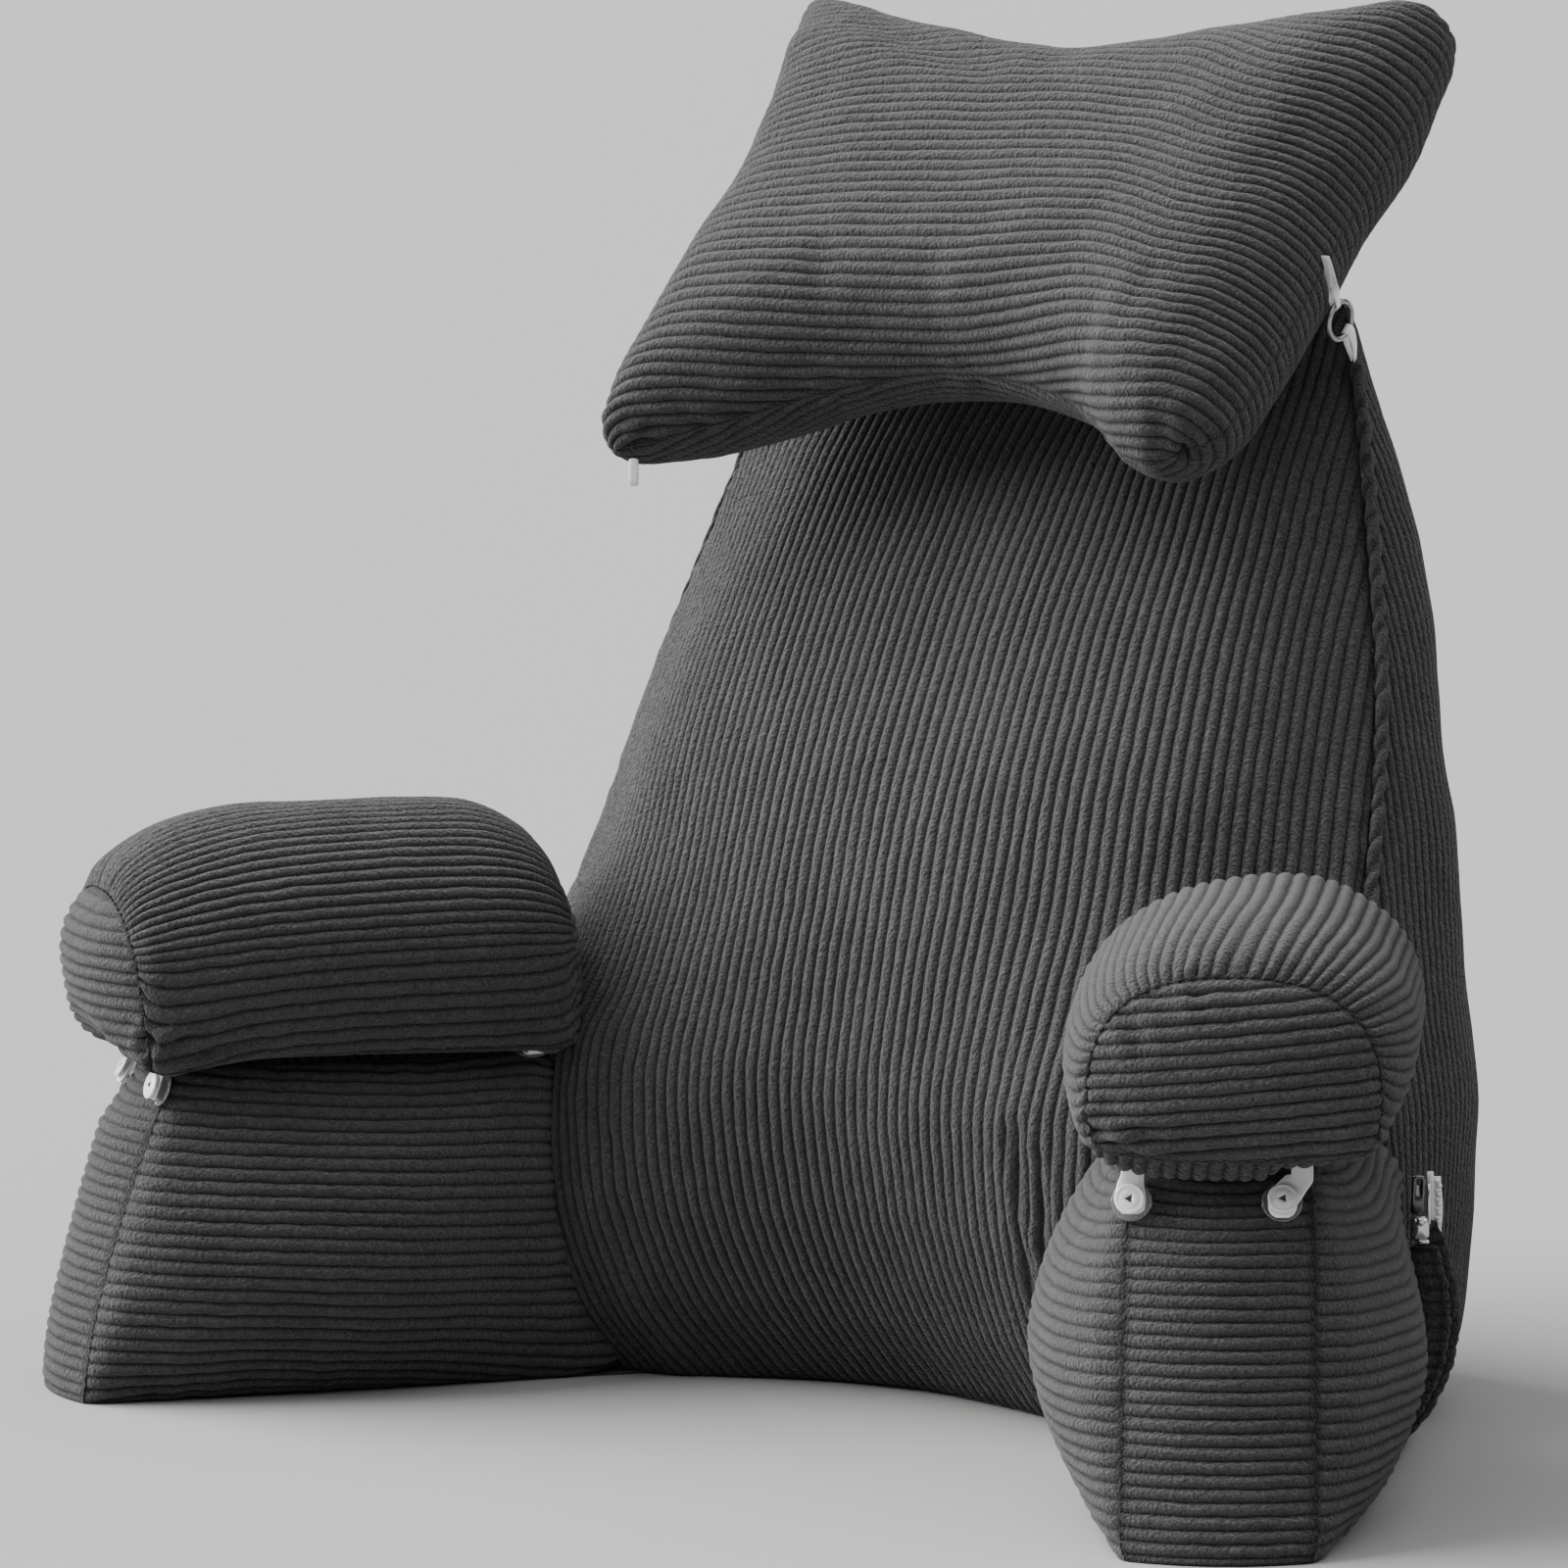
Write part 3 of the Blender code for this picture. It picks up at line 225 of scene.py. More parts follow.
def metal_material(name, low, high, roughness):
    """Plated metal, worn in patches that are duller and paler."""
    mat, tree, shader, place = new_material(name)
    wear = noise(tree, place, 330.0, 4.0)
    mottled_grey(tree, shader, wear, low, high)
    tree.links.new(mapped(tree, wear, roughness * 0.7, roughness * 1.4), shader.inputs["Roughness"])
    set_sockets(shader, Metallic=1.0)
    return mat


# ---------------------------------------------------------------- curves and noise
def smooth_curve(keys, values, at):
    """Values on a curve through the keys that does not overshoot."""
    keys = np.asarray(keys, float)
    values = np.asarray(values, float)
    at = np.clip(np.asarray(at, float), keys[0], keys[-1])
    step = np.diff(keys)
    slope = np.diff(values) / step
    tangent = np.zeros(len(keys))
    tangent[0] = slope[0]
    tangent[-1] = slope[-1]
    for i in range(1, len(keys) - 1):
        if slope[i - 1] * slope[i] > 0:
            tangent[i] = 2 * slope[i - 1] * slope[i] / (slope[i - 1] + slope[i])
    i = np.clip(np.searchsorted(keys, at, side="right") - 1, 0, len(keys) - 2)
    t = (at - keys[i]) / step[i]
    h = step[i]
    return (
        values[i] * (2 * t**3 - 3 * t**2 + 1)
        + tangent[i] * h * (t**3 - 2 * t**2 + t)
        + values[i + 1] * (-2 * t**3 + 3 * t**2)
        + tangent[i + 1] * h * (t**3 - t**2)
    )


def run_of(line):
    """Length along a line up to each of its points."""
    return np.concatenate([[0], np.cumsum(np.linalg.norm(np.diff(line, axis=0), axis=1))])


def sampled(at, keys, values):
    """Each column of the values, read at places between the keys."""
    return np.stack([np.interp(at, keys, values[..., k]) for k in range(values.shape[-1])], axis=-1)


def through(points, steps):
    """A curve through a few x, y points, sampled evenly along its length."""
    points = np.asarray(points, float)
    reach = run_of(points)
    fine = np.linspace(0, reach[-1], 2 * steps + 1)
    padded = np.vstack([2 * points[0] - points[1], points, 2 * points[-1] - points[-2]])
    i = np.clip(np.searchsorted(reach, fine, side="right") - 1, 0, len(points) - 2)
    t = ((fine - reach[i]) / (reach[i + 1] - reach[i]))[:, None]
    p0, p1, p2, p3 = (padded[i + k] for k in range(4))
    out = 0.5 * (
        2 * p1 + (p2 - p0) * t + (2 * p0 - 5 * p1 + 4 * p2 - p3) * t**2
        + (3 * p1 - p0 - 3 * p2 + p3) * t**3
    )
    run = run_of(out)
    return sampled(np.linspace(0, run[-1], steps + 1), run, out)


def ease(x):
    x = np.clip(x, 0, 1)
    return x * x * (3 - 2 * x)


def bell(away, width):
    return np.exp(-((away / width) ** 2))


def eased_steps(count):
    """Steps from 0 to 1 that are closer near both ends."""
    return 0.5 - 0.5 * np.cos(np.linspace(0, math.pi, count))


class Drift:
    """Smooth unevenness: a few sine waves in fixed directions, about -1 to 1."""

    def __init__(self, seed, wave_from, wave_to, count=9):
        rng = np.random.default_rng(seed)
        aim = rng.normal(size=(count, 3))
        aim /= np.linalg.norm(aim, axis=1)[:, None]
        length = rng.uniform(wave_from, wave_to, count)
        self.turns = aim / length[:, None] * 2 * math.pi
        self.phase = rng.uniform(0, 2 * math.pi, count)
        self.scale = 1.6 / count

    def __call__(self, points):
        return np.sin(points @ self.turns.T + self.phase).sum(axis=-1) * self.scale

    def along(self, run):
        pace = np.linalg.norm(self.turns, axis=1)
        return np.sin(run[..., None] * pace + self.phase).sum(-1) * self.scale


SWELL = Drift(3, 70, 160)
CREASE = Drift(5, 26, 48)
GATHER = Drift(7, 13, 30)
WANDER = Drift(11, 30, 90)
RUFFLE = Drift(13, 7, 16)

# ---------------------------------------------------------------- wales
PITCH = 6.0
WALE_HEIGHT = 1.9
WALE_MIDDLE = 0.55
WALE_RAMP = 2.6
FINE_PLACES = (-0.5, -0.41, -0.28, -0.1, 0.1, 0.28, 0.41)
SIDE_PLACES = (-0.5, -0.39, -0.2, 0.2, 0.39)
PLAIN_PLACES = (-0.5, -0.36, 0.0, 0.36)
SWELL_RAMP = 30
CREASE_RAMP = 18
CREASE_SHARE = 0.35
GATHER_RISE = 3.5
GATHER_FALL = 11
WAVER = 0.38
TUFT_PITCH = 6.5
TUFT_AT = 2.5
TUFT_WIDTH = 2.6
FAR = 1e3
SEAM_WIDTH = 3.6


def wale_profile(place):
    return np.clip(np.cos(np.pi * np.asarray(place)), 0, 1) ** 0.85


def unit(vectors):
    return vectors / np.maximum(np.linalg.norm(vectors, axis=-1, keepdims=True), 1e-9)


def run_along(points, axis):
    steps = np.linalg.norm(np.diff(points, axis=axis), axis=2)
    pad = np.zeros_like(steps.take([0], axis=axis))
    return np.concatenate([pad, np.cumsum(steps, axis=axis)], axis=axis)


def near_line(points, start, end):
    """Distance of points from a stretch between two points."""
    start = np.asarray(start, float)
    run = np.asarray(end, float) - start
    share = np.clip((points - start) @ run / (run @ run), 0, 1)
    return np.linalg.norm(points - start - share[..., None] * run, axis=-1), share


def folded(*folds):
    """A shape function that presses creases into a panel: from, to, width and depth."""

    def shape(points, face, near):
        pull = np.zeros(points.shape[:-1])
        for start, end, width, depth in folds:
            away, share = near_line(points, start, end)
            taper = 0.35 + 0.65 * np.sin(np.pi * np.clip(share, 0.12, 0.88))
            pull -= depth * taper * bell(away, width)
            pull += 0.45 * depth * taper * bell(away - 1.9 * width, 0.9 * width)
        return points + face * (pull * ease(near / 3.0))[..., None]

    return shape


def from_sewn(shape, gaps, sewn):
    """Distance from the nearer of two borders, of those that are sewn."""
    return np.minimum.reduce([np.full(shape, FAR)] + [gap for gap, yes in zip(gaps, sewn) if yes])


def tube_faces(rows, steps):
    """Quads round a run of rings."""
    pairs = [(j, (j + 1) % steps) for j in range(steps)]
    starts = [i * steps for i in range(rows - 1)]
    return [(p + i, p + j, p + steps + j, p + steps + i) for p in starts for i, j in pairs]


def closed_tube(rows, steps):
    first = tuple(range(steps))
    last = tuple((rows - 1) * steps + j for j in first)
    return tube_faces(rows, steps) + [first[::-1], last]


def piece(name, verts, faces, mats, slot, replaced, second_faces=(), check=True):
    """A mesh made in millimetres that takes the place of the frame's own solid."""
    mesh = bpy.data.meshes.new(name)
    mesh.from_pydata((np.asarray(verts, float) * MM).tolist(), [], faces)
    mesh.polygons.foreach_set("use_smooth", [True] * len(mesh.polygons))
    for mat in mats:
        mesh.materials.append(mat)
    for i in second_faces:
        mesh.polygons[i].material_index = 1
    if check:
        mesh.validate()
    obj = placed(name, mesh)
    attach(obj, "root")
    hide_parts(replaced)
    return obj


def set_painted_shade_and_tone(obj, values):
    """How light the cloth's shader draws each point, mostly its height on its wale: low values are painted
    shade in grooves, by seams and in folds.
    """
    painted_shade_and_tone = obj.data.attributes.new("painted_shade_and_tone", "FLOAT", "POINT")
    painted_shade_and_tone.data.foreach_set("value", values.astype(np.float32))


class Cover:
    """Panels of one cushion's cover, joined into one mesh."""

    def __init__(self):
        self.verts = []
        self.faces = []
        self.painted_shade_and_tone = []
        self.count = 0

    def add(self, verts, faces, painted_shade_and_tone):
        self.verts.append(verts)
        self.painted_shade_and_tone.append(painted_shade_and_tone)
        self.faces.extend([tuple(i + self.count for i in face) for face in faces])
        self.count += len(verts)

    def panel(self, ref, middle, anchor=0.5, cloth=None, shift=0.0, pitch=PITCH, places=FINE_PLACES,
              height=WALE_HEIGHT, swell=1.2, gather=1.0, ragged=(0.0, 0.0), rim=1.5, shapes=(), hide=None,
              ends=(True, True), sides=(True, True)):
        """Corduroy over a reference grid: rows run along the wales, columns across them.

        middle is a point inside the cushion. The wales are counted from the anchor, a share of
        each row, or follow the cloth grid where one is given, and shift moves them. shapes are
        functions that move the points, hide one that says which are out of sight. ends and
        sides say which of the panel's borders are sewn, ragged how far each side's seam stands
        up in tufts, rim how far in from a seam the cloth is darkened with painted shade."""
        rows = ref.shape[0]
        across = run_along(ref, 1)
        start = across[:, -1:] * anchor
        cloth = ((across - start if cloth is None else cloth) + shift) * PITCH / pitch
        along = run_along(ref, 0)
        normal = unit(np.cross(np.gradient(ref, axis=0), np.gradient(ref, axis=1)))
        if np.sum(normal * (ref - middle)) < 0:
            normal = -normal
        low = cloth[:, 0]
        high = cloth[:, -1]
        first = math.floor(low.min() / PITCH) - 1
        last = math.ceil(high.max() / PITCH) + 1
        at = np.concatenate([(k + np.array(places)) * PITCH for k in range(first, last + 1)])
        profile = np.tile(wale_profile(places), last - first + 1)
        n = len(at)
        points = np.array([sampled(at, cloth[r], ref[r]) for r in range(rows)])
        face = unit(np.array([sampled(at, cloth[r], normal[r]) for r in range(rows)]))
        length = np.array([np.interp(at, cloth[r], along[r]) for r in range(rows)])
        gaps = np.clip(at[None] - low[:, None], 0, None), np.clip(high[:, None] - at[None], 0, None)
        side = from_sewn((rows, n), gaps, sides)
        reach = from_sewn((rows, n), (length - length[:1], length[-1:] - length), ends)
        near = np.minimum(side, reach)
        wander = 0.9 + 0.1 * WANDER(points) + 0.1 * RUFFLE(points)
        lift = (profile[None] - WALE_MIDDLE) * height * ease(near / WALE_RAMP) * wander
        lift = lift + swell * SWELL(points) * ease(near / SWELL_RAMP)
        lift = lift + CREASE_SHARE * swell * CREASE(points) * ease(near / CREASE_RAMP)
        for away, where in ((side, length + low[0]), (reach, np.broadcast_to(at[None] + 40, (rows, n)))):
            tuck = gather * (1 - np.exp(-away / GATHER_RISE)) * np.exp(-away / GATHER_FALL)
            lift = lift + tuck * GATHER.along(where)
        sideways = unit(np.gradient(points, axis=1))
        waver = WAVER * RUFFLE(points * 0.8 + 50.0) * ease(near / 5)
        points = points + face * lift[..., None] + sideways * waver[..., None]
        for end, (tuft, gap) in enumerate(zip(ragged, gaps)):
            if tuft:
                beat = np.abs(np.sin(np.pi * (length + 5 * end + 1.5 * GATHER.along(length)) / TUFT_PITCH))
                points = points + face * (tuft * beat * bell(gap - TUFT_AT, TUFT_WIDTH))[..., None]
        for shape in shapes:
            points = shape(points, face, near)
        # painted shade: each point is drawn as light as it stands high on its wale, and dark within rim of a
        # sewn seam
        painted_shade_and_tone = profile[None] * ease(near / rim) * np.ones((rows, 1))
        left = np.searchsorted(at, low, side="right") - 1
        right = np.searchsorted(at, high, side="left")
        column = np.clip(np.arange(n)[None], left[:, None], right[:, None])
        index = column + np.arange(rows)[:, None] * n
        corners = index[:-1, :-1], index[:-1, 1:], index[1:, 1:], index[1:, :-1]
        quads = np.stack(corners, axis=-1).reshape(-1, 4)
        if hide is not None:
            gone = hide(points).reshape(-1)
            quads = quads[~gone[quads].all(axis=1)]
        self._join(points.reshape(-1, 3), face.reshape(-1, 3), quads, painted_shade_and_tone.reshape(-1))

    def _join(self, points, face, quads, painted_shade_and_tone):
        """Add a panel's quads, turned outwards, with only the points that they use."""
        p = points[quads]
        made = np.cross(p[:, 1] - p[:, 0], p[:, 3] - p[:, 0])
        if float(np.sum(made * face[quads[:, 0]])) < 0:
            quads = quads[:, ::-1]
        faces = []
        for q in quads:
            ring = [int(i) for k, i in enumerate(q) if i != q[k - 1]]
            if len(set(ring)) >= 3:
                faces.append(ring)
        used = np.unique(np.concatenate([np.array(f) for f in faces]))
        place = np.full(len(points), -1)
        place[used] = np.arange(len(used))
        self.add(points[used], [tuple(int(place[i]) for i in f) for f in faces], painted_shade_and_tone[used])

    def flat(self, ring, centre):
        """A plain closing panel from a ring of points to one centre point."""
        n = len(ring)
        self.add(np.vstack([ring, centre]), [(i, (i + 1) % n, n) for i in range(n)], np.full(n + 1, 0.75))

    def stitches(self, line, outward, pitch=4.6, long=3.0, wide=0.9, rise=0.8):
        """Short threads laid along a sewn line, each a small closed lozenge."""
        line = np.asarray(line, float)
        run = run_of(line)
        for start in np.arange(pitch, run[-1] - pitch, pitch):
            pick = [sampled(start + t, run, line) for t in (0, long)]
            out = unit(sampled(start, run, outward))
            across = unit(np.cross(pick[1] - pick[0], out)) * wide / 2
            centre = (pick[0] + pick[1]) / 2 + out * rise
            verts = np.array([pick[0], pick[1], centre + across, centre - across,
                              centre + out * wide / 2, centre - out * wide])
            self.add(verts, [(0, 2, 4), (0, 4, 3), (0, 3, 5), (0, 5, 2),
                             (1, 4, 2), (1, 3, 4), (1, 5, 3), (1, 2, 5)], np.full(6, 0.05))

    def cord(self, line, radius=2.4, twist=13.0):
        """A twisted roll of cloth along a seam, with painted shade between its lobes."""
        ahead = unit(np.gradient(line, axis=0))
        side = unit(np.cross(ahead, np.array([0.3, -0.9, 0.1])))
        other = np.cross(ahead, side)
        run = run_of(line)
        turn = np.linspace(0, 2 * math.pi, 12, endpoint=False)
        uneven = GATHER.along(run)[:, None]
        lobe = np.abs(np.cos(turn[None] - math.pi * run[:, None] / twist + 0.5 * uneven))
        end = np.clip(np.minimum(run, run[-1] - run) / 6.0, 0.05, 1)[:, None]
        reach = radius * (0.62 + 0.5 * lobe) * end * (1 + 0.15 * uneven)
        rows = (line[:, None] + side[:, None] * (reach * np.cos(turn))[..., None]
                + other[:, None] * (reach * np.sin(turn))[..., None])
        # painted shade: points low between the lobes are drawn dark
        self.add(rows.reshape(-1, 3), closed_tube(*reach.shape), (0.1 + 0.9 * lobe**2).reshape(-1))

    def build(self, name, mat):
        """The cover as one piece in the place of its cushion."""
        verts = np.vstack(self.verts)
        verts[:, 2] = np.maximum(verts[:, 2], 0.0)
        obj = piece(name + "_cover", verts, self.faces, [mat], "charcoal_corduroy", name, check=False)
        set_painted_shade_and_tone(obj, np.concatenate(self.painted_shade_and_tone))
        return obj


def tree_of(name):
    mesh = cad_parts[name].data
    points = [v.co.copy() for v in mesh.vertices]
    return BVHTree.FromPolygons(points, [tuple(p.vertices) for p in mesh.polygons])


def distances(tree, points, limit=60.0):
    """Signed distance of each point from a solid's surface, up to a limit."""
    flat = points.reshape(-1, 3)
    out = np.full(len(flat), limit)
    for i, p in enumerate(flat * MM):
        p = Vector(p)
        near, normal, _, distance = tree.find_nearest(p)
        if near is not None:
            sign = 1 if (p - near).dot(normal) > 0 else -1
            out[i] = sign * min(distance / MM, limit)
    return out.reshape(points.shape[:-1])


def pushed_out(point, tree, room):
    """The point, moved where needed so that it stands this far out from a solid."""
    spot = Vector(point * MM)
    hit, normal, _, away = tree.find_nearest(spot)
    if away < room * MM or (spot - hit).dot(normal) < 0:
        return np.array(hit + normal * room * MM) / MM
    return point


# ---------------------------------------------------------------- backrest
BACKREST_COLUMNS = (
    "z", "front_y", "shoulder_y", "seam_x", "seam_y",
    "side_x", "side_y", "back_x", "back_seam_y", "back_y",
)
BACKREST_ROWS = (
    (0, -62, -92, 232, -62, 210, 30, 150, 108, 118),
    (40, -90, -116, 237, -62, 224, 30, 160, 116, 130),
    (90, -108, -124, 236, -58, 229, 30, 162, 118, 136),
    (130, -112, -120, 228, -48, 230, 31, 157, 119, 139),
    (180, -104, -97, 216, -32, 220, 38, 149, 119, 140),
    (225, -90, -74, 206, -14, 212, 45, 142, 118, 139),
    (270, -68, -54, 198, 6, 202, 53, 136, 118, 137),
    (315, -40, -28, 188, 23, 194, 66, 132, 120, 137),
    (368, -4, 6, 171, 42, 176, 77, 128, 118, 132),
    (415, 28, 34, 158, 55, 160, 80, 126, 108, 120),
    (450, 56, 59, 146, 63, 146, 76, 130, 93, 99),
    (462, 72, 74, 136, 76, 137, 80, 130, 86, 90),
)
SHOULDER_AT = 0.62
FOOT_INSET = 7.0
# Heights, and how far the right side is drawn in and the left one let out at each.
SIDE_DRAW = (255, 285, 310, 350, 370, 400, 420, 445, 462), (0, 3, 5, 3.8, 3, 4.5, 5.5, 4, 3)
LEFT_FULL = (240, 275, 300, 330, 350, 370, 390, 420), (0, 2.2, 3, 3, 4.5, 5.5, 4, 2.5)
# How far the wales of the front lean at each height.
SWEEP = (0, 30, 60, 100, 150, 200, 270, 350, 390, 430, 462), (-27, -16, -8, -2.5, 0, 0, 5, 11, 10, 3, -6)
UPRIGHT = (150, 250, 330, 462), (0, 4, 12, 30)
# Shares of the front's width, and the pitch of the wales at each.
FRONT_PITCH = (0.0, 0.15, 0.35, 0.5, 0.75, 1.0), (4.9, 5.1, 5.35, 5.7, 6.2, 6.4)
CORNER_LIFT = 7.0
ARM_TOP = 185
ROLLS = ((-1, 1, 0.6, 1.3, 3.0), (0, -1, 1.2, 0.0, 1.3))  # column, side, forward, extra stand, radius


def seam_dip(distance):
    return 2.5 * bell(distance, 11.0) + 4.2 * bell(distance, SEAM_WIDTH)


def backrest_pieces(levels, front_steps, side_steps, back_steps):
    """Front, right, back and left panels as grids of points, one row a level."""
    table = np.array(BACKREST_ROWS, float)
    grids = [[], [], [], []]
    mirror = np.array([-1, 1])
    for z in levels:
        row = {n: float(smooth_curve(table[:, 0], table[:, i], z)) for i, n in enumerate(BACKREST_COLUMNS)}
        seam = np.array((row["seam_x"], row["seam_y"]))
        shoulder = np.array((row["seam_x"] * SHOULDER_AT, row["shoulder_y"]))
        back_seam = np.array((row["back_x"], row["back_seam_y"]))
        front = through([mirror * seam, mirror * shoulder, (0, row["front_y"]), shoulder, seam], front_steps)
        right, left = (through([seam, (row["side_x"] - draw, row["side_y"]), back_seam], side_steps)
                       for draw in (np.interp(z, *SIDE_DRAW), 0.0))
        back = through([back_seam, (0, row["back_y"]), mirror * back_seam], back_steps)
        pieces = [front, right, back, (left * mirror)[::-1]]
        seams = np.array([front[0], front[-1], back[0], back[-1]])
        centre = np.array([0.0, (row["front_y"] + row["back_y"]) / 2])
        depth = min((row["back_y"] - row["front_y"]) / 200, 1.0)
        for grid, edge in zip(grids, pieces):
            near = np.linalg.norm(edge[:, None] - seams[None], axis=2).min(axis=1)
            out = edge + unit(centre - edge) * (seam_dip(near) * depth)[:, None]
            if z < FOOT_INSET:
                inset = FOOT_INSET * (1 - math.sqrt(1 - (1 - z / FOOT_INSET) ** 2))
                out = out - unit(out - centre) * inset
            out = out - np.array([[np.interp(z, *LEFT_FULL), 0.0]]) * ease(-out[:, :1] / 130.0)
            grid.append(np.column_stack([out, np.full(len(out), z)]))
    grids = [np.array(grid) for grid in grids]
    for grid in grids:
        corner = ease((np.abs(grid[..., 0]) - 55.0) / 45.0) * ease((grid[..., 2] - 432.0) / 30.0)
        grid[..., 2] += CORNER_LIFT * corner
    return grids


def front_cloth(front, levels):
    """Where each point of the front lies on its cloth, and how far the wales lean there."""
    share = np.linspace(0, 1, front.shape[1])[None]
    across = run_along(front, 1)
    tight = PITCH / np.interp(share, *FRONT_PITCH)
    steps = np.diff(across, axis=1) * tight[:, 1:]
    cloth = np.concatenate([0 * across[:, :1], np.cumsum(steps, axis=1)], axis=1)
    cloth = cloth - cloth[:, cloth.shape[1] // 2][:, None]
    sweep = smooth_curve(*SWEEP, levels)[:, None]
    sweep = sweep * np.where(levels[:, None] < 150, 1.25 - 0.75 * share, 1.3 - 0.6 * share)
    return cloth, sweep + smooth_curve(*UPRIGHT, levels)[:, None] * ease((share - 0.55) / 0.45)


def build_backrest(mat, arm_trees):
    levels = np.concatenate([[0, 1.2, 3, 5.5], np.linspace(9, 452, 86), [456, 459.5, 462]])
    front, right, back, left = backrest_pieces(levels, 110, 30, 60)
    middle = np.array([0.0, 20.0, 200.0])

    def beside_arms(points, face, near):
        out = points.copy()
        low = points[..., 2] < ARM_TOP
        spots = points[low]
        pull = np.zeros(len(spots))
        for tree, groove, bulge in zip(arm_trees, (3.5, 0.5), (0.0, 6.0)):
            away = np.abs(distances(tree, spots))
            pull += -groove * bell(away, 6.5) + bulge * bell(away - 5.0, 20.0)
            pull += 2.6 * bell(away - 17, 12.0) * CREASE(spots * np.array([1.0, 1.0, 0.5]))
        out[low] = spots + face[low] * pull[:, None]
        return out

    folds = folded(
        ((96.0, -123, 128.0), (104.0, -124, 92.0), 4.5, 3.2),
        ((108.0, -124, 118.0), (114.0, -124, 78.0), 4.0, 3.4),
        ((99.0, -122, 84.0), (107.0, -120, 52.0), 4.5, 2.6),
        ((-132.0, -121, 142.0), (-118.0, -124, 116.0), 4.0, 2.4),
        ((-122.0, -122, 120.0), (-104.0, -124, 96.0), 4.5, 1.8),
        ((203.0, -12, 236.0), (199.0, -14, 214.0), 5.0, 2.5),
    )
    cover = Cover()
    cloth, sweep = front_cloth(front, levels)
    open_ends = (False, False)
    # rim=6.5 paints a wide dark line of shade along the front's two side seams
    cover.panel(front, middle, cloth=cloth, shift=sweep, swell=1.0, gather=1.2, ragged=(0.3, 0.3), rim=6.5,
                shapes=(beside_arms, folds), ends=open_ends)
    for grid, ragged in ((right, (1.6, 0.4)), (left, (0.4, 1.6))):
        cover.panel(grid, middle, pitch=3.9, places=SIDE_PLACES, height=1.3, swell=1.2, gather=1.5,
                    ragged=ragged, shapes=(folds,), ends=open_ends)
    rows = np.arange(levels.size)
    tall = rows[(levels > 14) & (levels < 452)]
    fine = np.linspace(tall[0], tall[-1], 420)
    for column, side, ahead, stand, radius in ROLLS:
        line = sampled(fine, rows, front[:, column])
        proud = 2.4 + stand * ease((425 - line[:, 2]) / 60)
        wave = 0.5 * WANDER(line)[:, None] * np.array([1.0, -0.4, 0.0])
        line = line + proud[:, None] * np.array([side, 0.0, 0.0]) + np.array([0.0, ahead, 0.0]) + wave
        cover.cord(line, radius)
    cover.panel(back[::2], middle, places=PLAIN_PLACES, swell=1.4, gather=1.2, ends=open_ends)
    for row in (0, -1):
        ring = np.vstack([g[row][:-1] for g in (front, right, back, left)])
        cover.flat(ring, ring.mean(axis=0))
    cover.build("backrest", mat)


# ---------------------------------------------------------------- arms
ARM_ROWS = ((1, 298.5, -286.5, 32.0), (-1, -300.0, -268.0, 38.0))
ARM_FLARE = 44.0
ARM_HALF_STRIP = 38.0
ARM_HALF_FOOT = 40.0
ARM_HEIGHT = 143.0
ARM_LEAN = 42.0
ARM_LENGTH = 300.0
ARM_BULGE = 36.0
ARM_BULGE_RUN = 0.42
ARM_JOIN_FROM = 0.40
ARM_JOIN_TO = 0.74
ARM_JOIN_DRAW = 0.72
ARM_STRIP_CROWN = 14.0
ARM_FOOT_CROWN = 8.0
ARM_TOP_CROWN = 7.2
ARM_BURIED = -9.0
ARM_SEAM_DIP = 1.8
RIGHT_POWER = 1.15
LEFT_POWER = 1.45
# Runs along the right arm, and how far its outer side is drawn in at each.
OUTER_INSET = (0.22, 0.3, 0.4, 0.5, 0.6, 0.7, 0.8, 1.0), (0, 1.5, 5, 7.5, 10, 12.5, 14, 14)


def arm_axes(row):
    side, foot_x, foot_y, splay = row
    angle = math.radians(splay)
    foot = np.array([foot_x, foot_y, 0.0])
    along = np.array([-side * math.sin(angle), math.cos(angle), 0.0])
    out = np.array([side * math.cos(angle), math.sin(angle), 0.0])
    return foot, along, out


def to_world(points, axes):
    foot, along, out = axes
    return foot + points[..., :1] * along + points[..., 1:2] * out + points[..., 2:] * UP


def arm_fullness(run):
    return (1 - (1 - np.clip(run / ARM_BULGE_RUN, 0, 1)) ** 2.4) ** 0.62


def arm_faces(run, share, power=RIGHT_POWER):
    """Inner and outer side of an arm at a run and a share of its height: along, out, up."""
    full = arm_fullness(run)
    z = ARM_HEIGHT * share
    half = ARM_HALF_FOOT + (ARM_HALF_STRIP - ARM_HALF_FOOT) * share
    swell = ARM_BULGE * full * np.clip(np.sin(np.pi * share**0.92), 0, 1) ** 0.8
    keep = 1 - ARM_JOIN_DRAW * ease((run - ARM_JOIN_FROM) / (ARM_JOIN_TO - ARM_JOIN_FROM))
    inner = half + swell * keep
    outer = half + swell + ARM_FLARE * run * (1 - 0.6 * share)
    front = ARM_LEAN * share**power
    a = front + run * (ARM_LENGTH - front)
    dip = ARM_SEAM_DIP * bell(np.minimum(z, ARM_HEIGHT - z), SEAM_WIDTH)
    start = ARM_SEAM_DIP * bell(a - front, SEAM_WIDTH)
    inner = inner - dip - start
    outer = outer - dip - start
    return np.stack([a, -inner, z], -1), np.stack([a, outer, z], -1)


